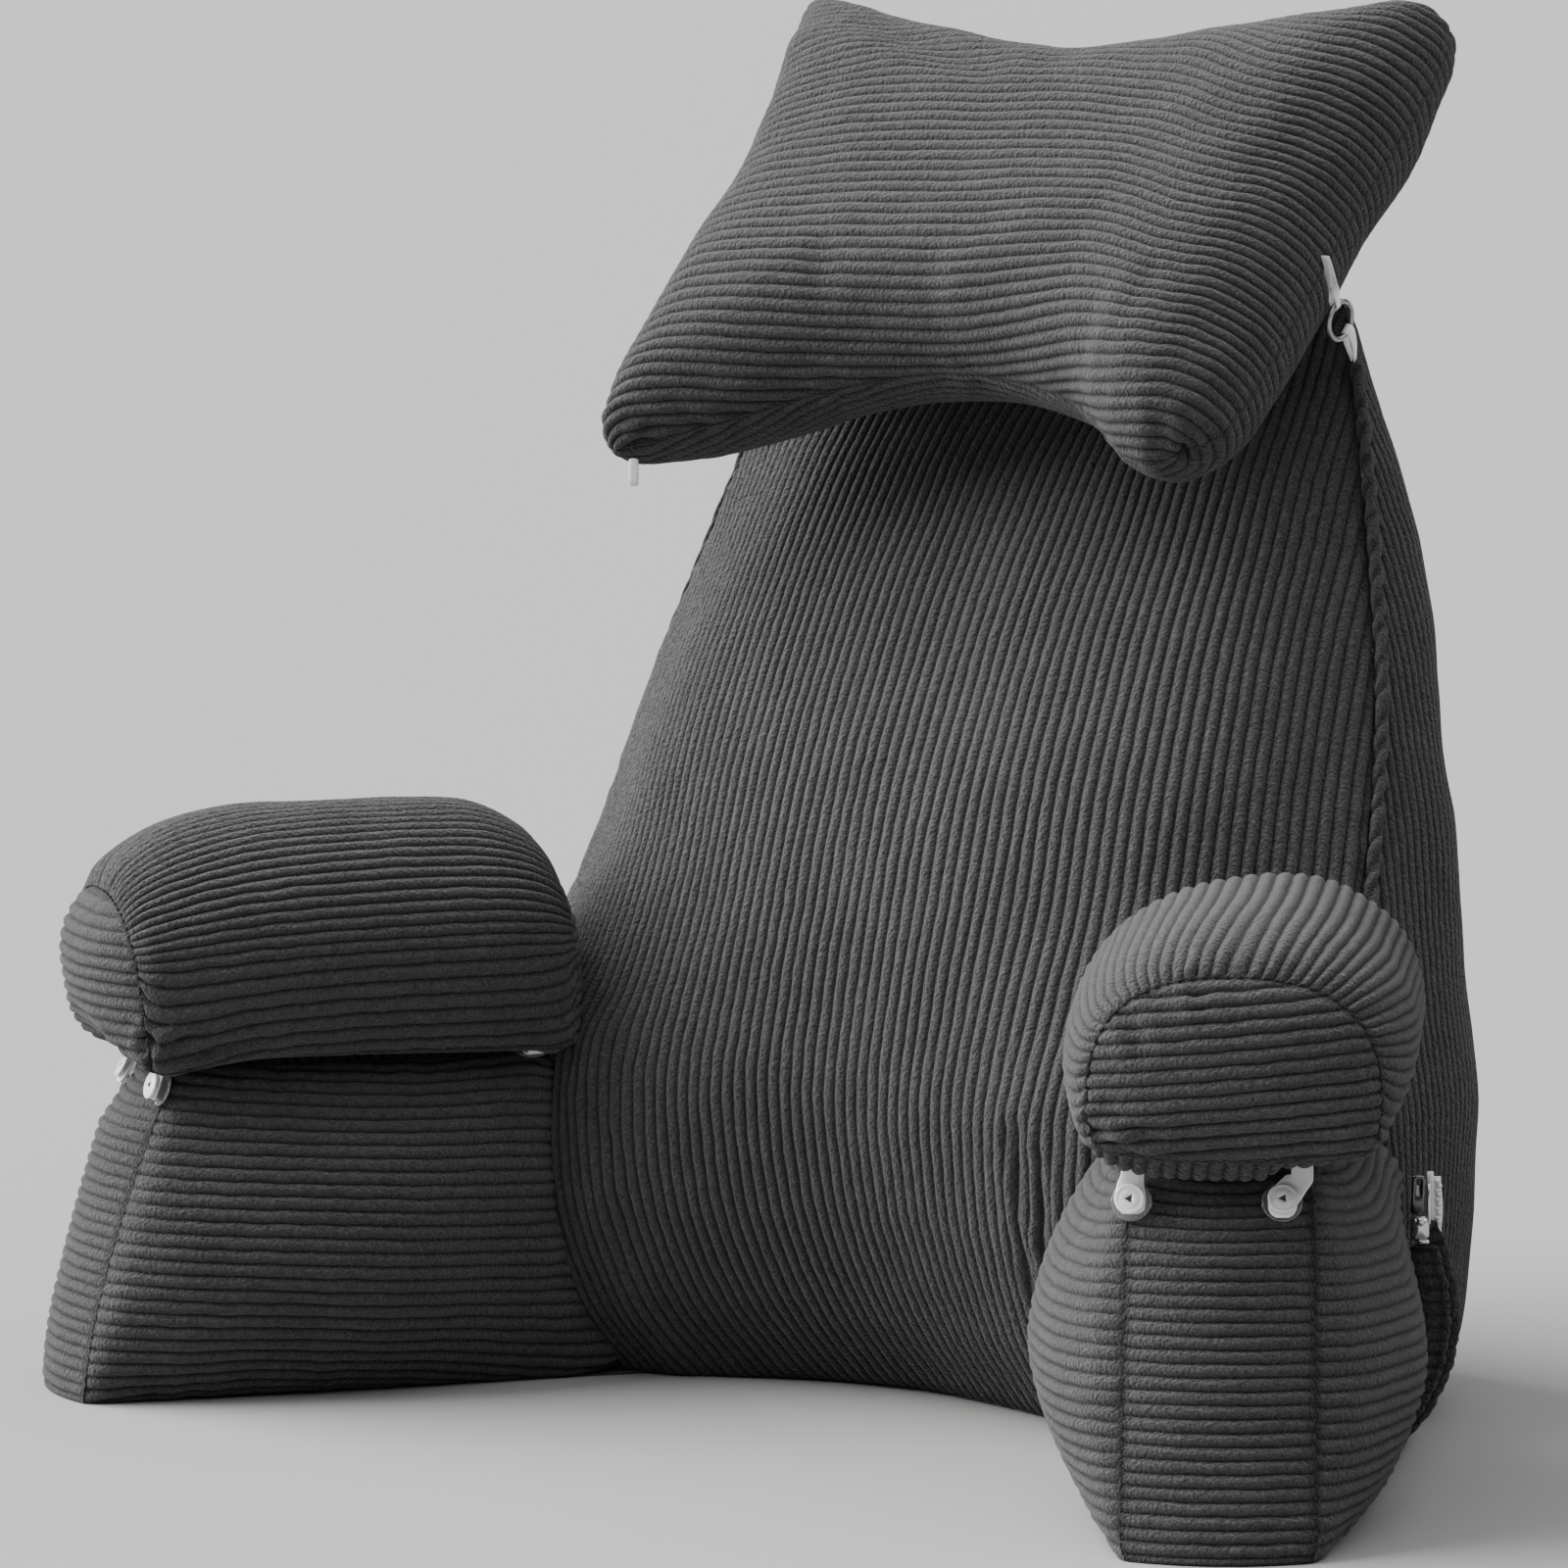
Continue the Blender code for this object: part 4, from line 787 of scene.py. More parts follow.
def build_arm(name, row, mat, backrest_tree):
    axes = arm_axes(row)
    right = row[0] > 0
    edge = 0.04
    share = 0.5 - 0.5 * np.cos(np.linspace(edge, 1 - edge, 44) * math.pi) / math.cos(edge * math.pi)
    share[0], share[-1] = 0.0, 1.0
    runs = np.linspace(0, 1, 84) ** 1.25
    run_grid, share_grid = np.meshgrid(runs, share, indexing="ij")
    power = RIGHT_POWER if right else LEFT_POWER
    inner, outer = arm_faces(run_grid, share_grid, power)
    middle = to_world(np.array([ARM_LENGTH * 0.5, 10.0, ARM_HEIGHT / 2]), axes)
    if right:
        fall = (1 - np.exp(-run_grid * ARM_LENGTH / 45.0)) * (1.5 + 4.5 * share_grid)
        shifts = (fall, fall + 7.0 * ease((run_grid - 0.1) / 0.4))
        inset = np.interp(run_grid, *OUTER_INSET)
        outer[..., 1] -= inset * ease(share_grid / 0.25) * (1 - ease((share_grid - 0.58) / 0.3))
        deep, wide = 7.0, 9.0
    else:
        shifts = (24.0 * run_grid**2, 10.0 * run_grid**2)
        deep, wide = 12.0, 13.0

    def at_backrest(points, face, near):
        away = np.clip(distances(backrest_tree, points), 0, None)
        pull = -deep * bell(away, wide)
        pull += 2.4 * bell(away - 15, 10.0) * CREASE(points * np.array([0.6, 0.6, 1.3]))
        return points + face * pull[..., None]

    def buried(points):
        return distances(backrest_tree, points) < ARM_BURIED

    cover = Cover()
    for grid, shift in zip((inner, outer), shifts):
        cover.panel(to_world(grid, axes), middle, shift=shift, swell=1.5, gather=1.5,
                    shapes=(at_backrest,), hide=buried, ends=(True, False))
    across = np.linspace(0, 1, 17)
    grid = []
    in_front, out_front = arm_faces(np.zeros_like(share), share, power)
    top_runs = np.linspace(0, 1, 40)[1:]
    in_top, out_top = arm_faces(top_runs, np.ones_like(top_runs))
    for k in across:
        bow = 4 * k * (1 - k)
        full = np.minimum(1.0, 5.0 * (1 - share))
        line = out_front * (1 - k) + in_front * k
        line[:, 0] -= (ARM_FOOT_CROWN * (1 - share) + ARM_STRIP_CROWN * share) * bow * full
        top = out_top * (1 - k) + in_top * k
        top[:, 2] += ARM_TOP_CROWN * np.minimum(arm_fullness(top_runs) * 1.2, 1) * bow
        grid.append(np.vstack([line, top]))
    strip = to_world(np.array(grid), axes)
    cover.panel(strip, middle, anchor=0.0, pitch=5.35, swell=0.9, gather=1.1,
                shapes=(at_backrest,), hide=buried, sides=(True, False))
    foot_in, foot_out = arm_faces(runs, np.zeros_like(runs))
    k = across[None, :, None]
    foot = foot_in[:, None] * (1 - k) + foot_out[:, None] * k
    foot[..., 0] -= ARM_FOOT_CROWN * 4 * k[..., 0] * (1 - k[..., 0]) * (1 - runs[:, None])
    cover.panel(to_world(foot, axes), middle, places=PLAIN_PLACES, height=0.3, swell=0.0,
                gather=0.0, hide=buried, ends=(True, False))
    for side in (0, -1):
        sewn = strip[side, : len(share)]
        cover.stitches(sewn, np.broadcast_to(-axes[1], sewn.shape), wide=0.6, rise=0.3)
    cover.build(name, mat)


# ---------------------------------------------------------------- bolsters
BOLSTER_START = 14.0
BOLSTER_LENGTH = 200.0
BOLSTER_FLOOR = 150.8
BOLSTER_PIVOT = 110.0
BOLSTER_ROWS = np.array((  # run, half width, seam's half width and height, widest, crest, power
    (0.0, 58.0, 56.0, 157.0, 180.0, 222.0, 0.82),
    (1.0, 70.0, 57.0, 157.0, 193.0, 247.5, 1.0),
))
BOLSTER_FRONT_FILL = 0.46
BOLSTER_REAR_FILL = 0.28
BOLSTER_END_CROWN = 11.0
BOLSTER_SEAM_DIP = 1.6
BOLSTER_SEAM_PITCH = 4.7
BOLSTER_MIDDLE_Z = 195.0
BOLSTER_SIDES = {
    "right": dict(turn=3.0, shift=10.0, shear=0.12, crest_rise=0.0, crest_drop=0.0, droop=0.0, lead=0.0,
                  end_tilt=0.10, lean=5.0, front_tilt=0.0, roll_fade=1, end_lift=5.0),
    "left": dict(turn=0.0, shift=0.0, shear=0.0, crest_rise=4.5, crest_drop=3.0, droop=8.7, lead=8.0,
                 end_tilt=0.0, lean=8.0, front_tilt=0.14, roll_fade=0, end_lift=0.0),
}
BOLSTER_FOLDS = {
    "right": folded(
        ((282.0, -279, 225.0), (289.0, -285, 206.0), 2.8, 2.2),
        ((262.0, -294, 210.0), (268.0, -296, 196.0), 3.6, 1.6),
        ((247.0, -299, 166.0), (262.0, -293, 156.0), 3.6, 3.8),
        ((252.0, -297, 172.0), (272.0, -292, 163.0), 4.0, 2.0),
    ),
    "left": folded(
        ((-243.0, -288, 150.0), (-236.0, -278, 166.0), 3.4, 3.4),
        ((-236.0, -284, 152.0), (-222.0, -268, 164.0), 3.6, 3.2),
        ((-232.0, -276, 150.0), (-206.0, -250, 156.0), 3.6, 2.6),
    ),
}


def bolster_axes(row, own):
    foot, along, _ = arm_axes(row)
    side, _, _, splay = row
    _, ahead, out = arm_axes((side, 0.0, 0.0, splay - own["turn"]))
    return foot + along * BOLSTER_PIVOT + out * own["shift"] - ahead * BOLSTER_PIVOT, ahead, out


def bolster_section(run, own, arch_steps, under_steps):
    """Arch and underside of a bolster's section, as along, out, up."""
    fill = min(run / BOLSTER_FRONT_FILL, (1 - run) / BOLSTER_REAR_FILL, 1.0)
    full = (1 - (1 - max(fill, 0.0)) ** 2.3) ** 0.6
    ends = BOLSTER_ROWS
    _, half_width, seam_half, seam_z, widest_z, crest_z, power = ends[0] + (ends[1] - ends[0]) * full
    crest_z += own["crest_rise"] * full - own["crest_drop"] * (1 - full)
    seam_z -= own["droop"] * (1 + 0.72 * (1 - ease(run / 0.3)) + 0.2 * ease((run - 0.45) / 0.5))
    below = math.acos(seam_half / half_width)
    turn = np.linspace(-below, math.pi + below, arch_steps + 1)
    top = np.sin(turn) > 0
    arch_b = half_width * np.where(top, np.sign(np.cos(turn)) * np.abs(np.cos(turn)) ** power, np.cos(turn))
    up = (crest_z - widest_z) * np.abs(np.sin(turn)) ** power
    down = (widest_z - seam_z) / math.sin(below) * np.sin(turn)
    arch_z = widest_z + np.where(top, up, down)
    under = np.linspace(-1, 1, under_steps + 1)
    under_b = under * seam_half
    sag = (seam_z - BOLSTER_FLOOR) * (1 - np.abs(under) ** 3)
    under_z = seam_z - sag * min(1.0, 0.7 + full)
    a = BOLSTER_START + own["lead"] * (1 - run) + run * BOLSTER_LENGTH
    back = min(run, 1 - run) * BOLSTER_LENGTH
    roll = 5.2 * math.exp(-(((back - 9.0) / 7.5) ** 2)) * min(1.0, back / 5.0)
    roll = roll * (1 - own["roll_fade"] * ease((under_b - 12.5) / 7.0))
    arch_z = arch_z + own["end_lift"] * (1 - full) * np.clip((arch_z - 185.0) / 37.0, 0, 1)
    under_z = under_z - roll * (1 - np.abs(under) ** 6)
    sections = []
    for b, z in ((arch_b, arch_z), (under_b, under_z)):
        sections.append(np.column_stack([np.full(len(b), a), b + own["shear"] * full * (z - widest_z), z]))
    centre = np.array([a, 0.0, BOLSTER_MIDDLE_Z])
    pinch = BOLSTER_SEAM_DIP * bell(back, SEAM_WIDTH)
    tilt = own["front_tilt"] * (1 - run) ** 2
    out = []
    for section in sections:
        gap = np.minimum(*(np.linalg.norm(section - sections[1][end], axis=1) for end in (0, -1)))
        draw = pinch + BOLSTER_SEAM_DIP * bell(gap, SEAM_WIDTH)
        drawn = section + unit(centre - section) * draw[:, None]
        drawn[:, 0] -= tilt * (drawn[:, 2] - 185.0)
        out.append(drawn)
    return out


def bolster_end(own, run, outward):
    """Crowned end panel: rows run up it, one beside the other. Also each point's place on the cloth."""
    arch, under = bolster_section(run, own, 160, 60)
    widest = int(np.argmax(arch[:81, 1])), 80 + int(np.argmin(arch[80:, 1]))
    roof = arch[widest[0]:widest[1] + 1][::-1]
    sill = np.vstack([arch[widest[1]:], under, arch[: widest[0] + 1]])
    b_ends = roof[0, 1], roof[-1, 1]
    b = (b_ends[0] + (b_ends[1] - b_ends[0]) * eased_steps(47))[:, None]
    top = np.interp(b, np.maximum.accumulate(roof[:, 1]), roof[:, 2])
    foot = np.interp(b, np.maximum.accumulate(sill[:, 1]), sill[:, 2])
    z = foot + (top - foot) * eased_steps(46)[None]
    b = np.broadcast_to(b, z.shape)
    centre = np.array([0.0, 0.5 * (foot.min() + top.max())])
    outline = np.vstack([arch[:, 1:], under[:, 1:]]) - centre
    angle = np.arctan2(outline[:, 1], outline[:, 0])
    order = np.argsort(angle)
    radius = np.linalg.norm(outline, axis=1)
    spoke = np.arctan2(z - centre[1], b - centre[0])
    rim = np.interp(spoke, angle[order], radius[order], period=2 * math.pi)
    rho = np.clip(np.hypot(b - centre[0], z - centre[1]) / rim, 0, 1)
    crown = BOLSTER_END_CROWN + (own["lead"] if outward < 0 else 0.0)
    tilt = own["front_tilt"] * (1 - run) ** 2
    a = arch[0, 0] + tilt * (arch[0, 2] - z) + outward * crown * (1 - rho**2.2) ** 0.8
    return np.stack([a, b, z], axis=-1), z - own["end_tilt"] * b


def build_bolster(side_name, row, mat):
    own = BOLSTER_SIDES[side_name]
    axes = bolster_axes(row, own)
    runs = eased_steps(60)
    sections = [bolster_section(run, own, 84, 24) for run in runs]
    arch, under = (to_world(np.array(grid), axes) for grid in zip(*sections))
    middle = to_world(np.array([BOLSTER_START + BOLSTER_LENGTH / 2, 0.0, BOLSTER_MIDDLE_Z]), axes)
    shapes = (BOLSTER_FOLDS[side_name],)
    cover = Cover()
    fan = np.linspace(-0.5, 0.5, arch.shape[1])[None] * run_along(arch[:1], 1)[0, -1]
    lean = own["lean"] * (1 - np.exp(-runs / 0.3))[:, None]
    cover.panel(arch, middle, cloth=fan + lean, pitch=BOLSTER_SEAM_PITCH, swell=1.3, gather=1.5,
                shapes=shapes)
    cover.panel(under, middle, swell=0.0, gather=0.4)
    for run, outward in ((0.0, -1), (1.0, 1)):
        grid, cloth = bolster_end(own, run, outward)
        cover.panel(to_world(grid, axes), middle, cloth=cloth, pitch=5.6, swell=0.9, gather=1.2,
                    shapes=shapes)
    ring = arch[0]
    cover.stitches(ring, unit(ring - ring.mean(axis=0)) + unit(ring - middle), long=3.2, wide=1.1, rise=1.3)
    cover.build("bolster_" + side_name, mat)


# ---------------------------------------------------------------- neck pillow
NECK_CENTRE_Y = 20.0
NECK_CENTRE_Z = 497.0
NECK_TILT = math.radians(45.0)
NECK_TOP_HALF = 185.0
NECK_FOOT_HALF = 167.0
NECK_HALF_HEIGHT = 154.0
NECK_TOP_DIP = 57.0
NECK_FOOT_RISE = 64.0
NECK_LEFT_WAIST = 33.0
NECK_RIGHT_WAIST = 11.0
NECK_THICK = 100.0
# Places along the foot, and how far its edge is lifted at each.
NECK_FOOT_LIFT = (
    (-1, -0.6, -0.3, 0, 0.3, 0.44, 0.54, 0.62, 0.7, 0.78, 0.88, 1),
    (0, 0, 4.5, 8.5, 12, 12, 8, 2, -1.5, -0.5, 7, 13),
)
NECK_REST = 1.6
NECK_REST_TOP = 470


def neck_point(u, v, side):
    """A point on the front (1) or back (-1) panel."""
    half = NECK_FOOT_HALF + (NECK_TOP_HALF - NECK_FOOT_HALF) * (v + 1) / 2
    pinch = 1 - np.abs(u) ** 1.7
    top = NECK_HALF_HEIGHT - NECK_TOP_DIP * pinch
    foot = -NECK_HALF_HEIGHT + NECK_FOOT_RISE * pinch + smooth_curve(*NECK_FOOT_LIFT, u)
    tip = np.where(v > 0, np.where(u < 0, 0.1, 0.065), np.where(u < 0, 0.03, 0.055))
    corner = 0.115 * np.abs(u * v) ** 4.0 + tip * np.abs(u * v) ** 14
    waist = np.where(u < 0, NECK_LEFT_WAIST, NECK_RIGHT_WAIST)
    half = half + 4.2 * ease(-u / 0.6) * ease((0.1 - v) / 0.5)
    across = u * (half - waist * (1 - v**2) * np.abs(u)) * (1 - corner)
    up = 0.5 * (foot + top) + v * 0.5 * (top - foot) * (1 - corner)
    ends = np.clip(1 - np.abs(u) ** 5.0, 0, 1) ** 0.5
    edges = np.clip(1 - np.abs(v) ** 3.4, 0, 1) ** 0.55
    forward = side * 0.5 * NECK_THICK * ends * edges * (1 + 0.2 * np.abs(u * v) ** 2)
    y = NECK_CENTRE_Y + up * math.sin(NECK_TILT) - forward * math.cos(NECK_TILT)
    z = NECK_CENTRE_Z + up * math.cos(NECK_TILT) + forward * math.sin(NECK_TILT)
    return np.stack([across, y, z], axis=-1)


def build_neck(mat, backrest_tree):
    u = np.sin(np.linspace(-1, 1, 96) * math.pi / 2)
    v = np.sin(np.linspace(-1, 1, 110) * math.pi / 2)
    grid_u, grid_v = np.meshgrid(u, v, indexing="ij")
    middle = np.array([0.0, NECK_CENTRE_Y, NECK_CENTRE_Z])

    def over_backrest(points, face, near):
        out = points.copy()
        low = points[..., 2] < NECK_REST_TOP
        spots = points[low]
        for i, spot in enumerate(spots):
            spots[i] = pushed_out(spot, backrest_tree, NECK_REST)
        out[low] = spots
        return out

    cover = Cover()
    right = ease((grid_u - 0.05) / 0.85)
    fan = 13.0 * right * ease((grid_v + 0.25) / 0.8) - 13.0 * right * ease((-grid_v - 0.05) / 0.75)
    fan = fan + 9.0 * ease((-grid_u - 0.3) / 0.6) * ease(grid_v / 0.6)
    folds = folded(
        ((-150.0, 78, 590.0), (-20.0, 30, 570.0), 9.0, 3.0),
        ((-57.0, -44, 504.0), (-47.0, -60, 464.0), 6.0, 1.0),
        ((1.0, -46, 500.0), (8.0, -56, 456.0), 6.0, 0.9),
        ((116.0, -52, 486.0), (107.0, -73, 438.0), 5.0, 1.5),
        ((96.0, -58, 476.0), (92.0, -70, 445.0), 6.0, 0.9),
        ((146.0, -76, 404.0), (134.0, -74, 424.0), 3.2, 1.4),
        ((156.0, -70, 404.0), (150.0, -74, 430.0), 3.4, 1.4),
        ((-138.0, -72, 402.0), (-124.0, -72, 418.0), 3.2, 1.8),
    )
    for side in (1, -1):
        cover.panel(neck_point(grid_u, grid_v, side), middle, shift=fan, swell=2.0, gather=1.9,
                    shapes=(folds, over_backrest))
    return cover.build("neck_pillow", mat)


# ---------------------------------------------------------------- tapes, studs, rings and zip
CAMERA_SIDE = np.array([0.819152, 0.573576, 0.0])
CAMERA_FRONT = np.array([0.573576, -0.819152, 0.0])
UP = np.array([0.0, 0.0, 1.0])


def shown(side=0.0, front=0.0, up=0.0):
    """A step to the right, forward and up as the camera sees it."""
    return CAMERA_SIDE * side + CAMERA_FRONT * front + UP * up


def node_points(name):
    return np.array([v.co[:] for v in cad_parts[name].data.vertices]) / MM


def lathe(profile, centre, axis, steps, hole):
    """A turned form: radius and height pairs from the axis round to the axis again.

    The rows that hole lists are three-cornered."""
    side = unit(np.cross(axis, (0.0, 0.0, 1.0) if abs(axis[2]) < 0.9 else (1.0, 0.0, 0.0)))
    other = np.cross(axis, side)
    verts = [centre + axis * profile[0][1]]
    turn = np.linspace(0, 2 * math.pi, steps, endpoint=False)
    for k, (radius, height) in enumerate(profile[1:-1]):
        reach = np.full(steps, float(radius))
        if k in hole:
            reach = radius / np.cos(turn % (2 * math.pi / 3) - math.pi / 3) * 0.62
        verts.extend(centre + axis * height + r * (side * math.cos(t) + other * math.sin(t))
                     for r, t in zip(reach, turn))
    verts.append(centre + axis * profile[-1][1])
    rows = len(profile) - 2
    pairs = [(j, (j + 1) % steps) for j in range(steps)]
    faces = [(0, 1 + j, 1 + i) for i, j in pairs]
    faces += [tuple(1 + i for i in face) for face in tube_faces(rows, steps)]
    p = 1 + (rows - 1) * steps
    faces += [(p + i, p + j, len(verts) - 1) for i, j in pairs]
    return np.array(verts), faces


STUD_STEPS = 48
REAR_SIZE = {"_base": 0.98, "_cap": 0.92}
BASE_PROFILE = (
    (0, 0), (7.6, 0), (8.0, 0.25), (8.05, 0.6), (7.75, 0.95), (7.2, 1.0), (6.9, 0.75), (6.5, 0.7), (0, 0.75),
)
CAP_PROFILE = (
    (0, 0), (5.6, 0), (6.0, 0.25), (6.1, 0.8), (5.8, 1.2), (5.2, 1.3), (4.6, 1.12), (4.2, 1.1),
    (3.9, 1.25), (2.4, 1.4), (1.8, 1.35), (1.55, 1.15), (1.5, 0.3), (0, 0.25),
)
CAP_HOLE = (9, 10, 11)


def build_stud(prefix, clear, milky, hole_painted_shade):
    """A press stud: clear flange on the arm, ringed milky cap over the tape, with painted shade in the cap's
    hole.
    """
    base = node_points(prefix + "_base")
    cap = node_points(prefix + "_cap")
    axis = np.linalg.svd(base - base.mean(axis=0))[2][2]
    if axis @ (cap.mean(axis=0) - base.mean(axis=0)) < 0:
        axis = -axis
    axis = unit(axis)
    for part, points, profile, mats, hole in (("_base", base, BASE_PROFILE, [clear], ()),
                                              ("_cap", cap, CAP_PROFILE, [milky, hole_painted_shade], CAP_HOLE)):
        foot = points.mean(axis=0)
        foot = foot + axis * ((points - foot) @ axis).min()
        size = 1.0 if "front" in prefix else REAR_SIZE[part]
        verts, faces = lathe([(r * size, h) for r, h in profile], foot, axis, STUD_STEPS, hole)
        # the bottom of the cap's hole gets near-black plastic as painted shade
        painted_shade_faces = range(STUD_STEPS * hole[2], len(faces)) if hole else ()
        piece(prefix + part + "_turned", verts, faces, mats, "frosted_clear_plastic", prefix + part, painted_shade_faces)


def soft_copy(name, mat, move=(0.0, 0.0, 0.0)):
    """The frame's own strip with rounded edges and a faint ripple."""
    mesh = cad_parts[name].data.copy()
    work = bmesh.new()
    work.from_mesh(mesh)
    bmesh.ops.remove_doubles(work, verts=work.verts, dist=0.00002)
    bmesh.ops.subdivide_edges(work, edges=work.edges, cuts=2, use_grid_fill=True)
    bmesh.ops.smooth_vert(work, verts=work.verts, factor=0.35,
                          use_axis_x=True, use_axis_y=True, use_axis_z=True)
    bmesh.ops.triangulate(work, faces=[f for f in work.faces if len(f.verts) > 4])
    bmesh.ops.recalc_face_normals(work, faces=work.faces)
    verts = np.array([v.co[:] for v in work.verts]) / MM
    normals = np.array([v.normal[:] for v in work.verts])
    verts = verts + normals * 0.08 * GATHER(verts * 2.0)[:, None] + np.array(move)
    faces = [[v.index for v in f.verts] for f in work.faces]
    work.free()
    bpy.data.meshes.remove(mesh)
    piece(name + "_cloth", verts, faces, [mat], "white_satin_tape", name)


def strip_mesh(path, wide, halves, thick):
    """A tape along a path: a flat section with rounded edges, closed at both ends."""
    path = np.asarray(path, float)
    wide = np.broadcast_to(np.asarray(wide, float), path.shape)
    ahead = unit(np.gradient(path, axis=0))
    across = unit(wide - (wide * ahead).sum(-1)[:, None] * ahead)
    up = np.cross(ahead, across)
    rim = thick * 0.35
    full, shoulder, crown = thick / 2, thick * 0.46, thick * 0.44
    rows = []
    for p, a, u, h in zip(path, across, up, halves):
        section = ((-h, 0), (-h + rim, full), (-h / 2, shoulder), (0, crown), (h / 2, shoulder),
                   (h - rim, full), (h, 0), (h - rim, -full), (0, -crown), (-h + rim, -full))
        rows.append([p + a * x + u * y for x, y in section])
    rows = np.array(rows)
    return rows.reshape(-1, 3), closed_tube(*rows.shape[:2])


RING_RADIUS = 8.2
RING_WIRE = 1.25
RING_TURNS = 72
WIRE_TURNS = 14
RING_INWARDS = 1.8
RING_TWIST = np.array([0.1, -0.26, 0.0])
UPPER_START = shown(side=-9.0, up=28.0)
TAPE_TURN = RING_WIRE + 0.45
TAPE_THICK = 0.7
TAPE_GAP = 0.5
TAPE_STEPS = 14
LOOPS = (("upper", 3.1, 1.5), ("lower", 1.0, 2.5))  # half the tape's width where it is sewn and at the ring


def off_pillow(path, pillow):
    """The upper tape's path, moved out of the pillow and smoothed."""
    last = TAPE_STEPS - 1
    for k in (*range(2, last), *range(len(path) - last, len(path) - 2)):
        path[k] = pushed_out(path[k], pillow, 1.6 if k < last else 0.8)
    for _ in range(6):
        path[1:-1] = [0.25 * a + 0.5 * b + 0.25 * c for a, b, c in zip(path, path[1:], path[2:])]


def build_ring(side_name, metal, tape, pillow):
    """Wire ring and the two folded tapes that it hangs between."""
    points = node_points("ring_" + side_name)
    centre = points.mean(axis=0)
    normal = np.linalg.svd(points - centre)[2][2]
    mirror = 1.0 if side_name == "right" else -1.0
    flip = np.array([mirror, 1.0, 1.0])
    centre = centre - CAMERA_SIDE * flip * RING_INWARDS
    normal = unit(normal * math.copysign(1.0, normal[0] * mirror) + RING_TWIST * flip)
    side = unit(np.cross(normal, (0.0, 1.0, 0.0)))
    other = np.cross(normal, side)
    verts = []
    turns, wires = RING_TURNS, WIRE_TURNS
    for t in np.linspace(0, 2 * math.pi, turns, endpoint=False):
        spoke = side * math.cos(t) + other * math.sin(t)
        for w in np.linspace(0, 2 * math.pi, wires, endpoint=False):
            wire = RING_WIRE * (1 + 0.05 * math.sin(22 * t + w))
            verts.append(centre + spoke * (RING_RADIUS + wire * math.cos(w)) + normal * wire * math.sin(w))
    corners = ((0, 0), (1, 0), (1, 1), (0, 1))
    faces = [tuple((i + di) % turns * wires + (j + dj) % wires for di, dj in corners)
             for i in range(turns) for j in range(wires)]
    piece("ring_" + side_name + "_wire", verts, faces, [metal], "chrome_metal", "ring_" + side_name)
    turn = TAPE_TURN
    front = CAMERA_FRONT * flip
    for part, sewn, held in LOOPS:
        upper = part == "upper"
        name = "ring_loop_" + part + "_" + side_name
        if upper:
            start = centre + UPPER_START * flip
            hit = pillow.ray_cast(Vector((start + front * 150) * MM), Vector(-front))[0]
            start = np.array(hit) / MM + front * 0.9
        else:
            old = node_points(name)
            reach = np.linalg.norm(old - centre, axis=1)
            start = old[reach > reach.max() - 1.5].mean(axis=0)
        spoke = start - centre
        spoke = unit(spoke - spoke @ normal * normal)
        catch = centre + spoke * RING_RADIUS
        ahead = unit(catch - start)
        open_side = unit(normal - normal @ ahead * ahead)
        length = np.linalg.norm(catch - start)
        path, halves = [], []

        def leg(shares, facing, bow):
            for share in shares:
                lift = TAPE_GAP + (turn - TAPE_GAP) * ease(share * 1.15 - 0.15)
                lift += bow * math.sin(math.pi * share)
                path.append(start + ahead * share * length + facing * open_side * lift)
                halves.append(sewn + (held - sewn) * share)

        leg(np.linspace(0, 1, TAPE_STEPS), 1, 0.9)
        for angle in np.linspace(0, math.pi, 13)[1:-1]:
            path.append(catch + ahead * turn * math.sin(angle) + open_side * turn * math.cos(angle))
            halves.append(held)
        leg(np.linspace(1, 0, TAPE_STEPS), -1, 0.5)
        if upper:
            off_pillow(path, pillow)
        wide = np.broadcast_to(np.cross(ahead, open_side), (len(path), 3))
        if upper:
            flat = np.cross(ahead, shown(side=-0.6, front=0.8) * flip)
            flat = unit(flat) * math.copysign(1.0, flat @ wide[0])
            near = np.linalg.norm(np.array(path) - catch, axis=1)[:, None]
            wide = wide + (flat - wide) * ease((near - 5.0) / 8.0)
        verts, faces = strip_mesh(path, wide, halves, TAPE_THICK)
        piece(name + "_fold", verts, faces, [tape], "white_satin_tape", name)


def slab(centre, axes, size, corner, hole=None, dome=0.0):
    """A plate with rounded corners and softened rims, with a round hole when one is given."""
    steps = 40
    turn = np.linspace(0, 2 * math.pi, steps, endpoint=False) + math.pi / steps
    half = np.array([size[0] / 2 - corner, size[1] / 2 - corner])
    rim = min(size[2] * 0.3, corner * 0.6)
    rings = []
    for inset, height in ((rim, -0.5), (0.0, -0.5 + rim / size[2]), (0.0, 0.5 - rim / size[2]), (rim, 0.5)):
        rings.append([(half[0] * np.sign(math.cos(t)) + (corner - inset) * math.cos(t),
                       half[1] * np.sign(math.sin(t)) + (corner - inset) * math.sin(t), height * size[2])
                      for t in turn])
    if hole is None:
        rings.insert(0, [(0.0, 0.0, -0.5 * size[2])] * steps)
        rings.append([(0.0, 0.0, 0.5 * size[2] + dome)] * steps)
    else:
        radius, at = hole
        for height in (0.5, -0.5):
            rings.append([(radius * math.cos(t), at + radius * math.sin(t), height * size[2]) for t in turn])
        rings.append(rings[0])
    verts = centre + np.array(rings).reshape(-1, 3) @ np.array(axes)
    return welded(verts, tube_faces(len(rings), steps))


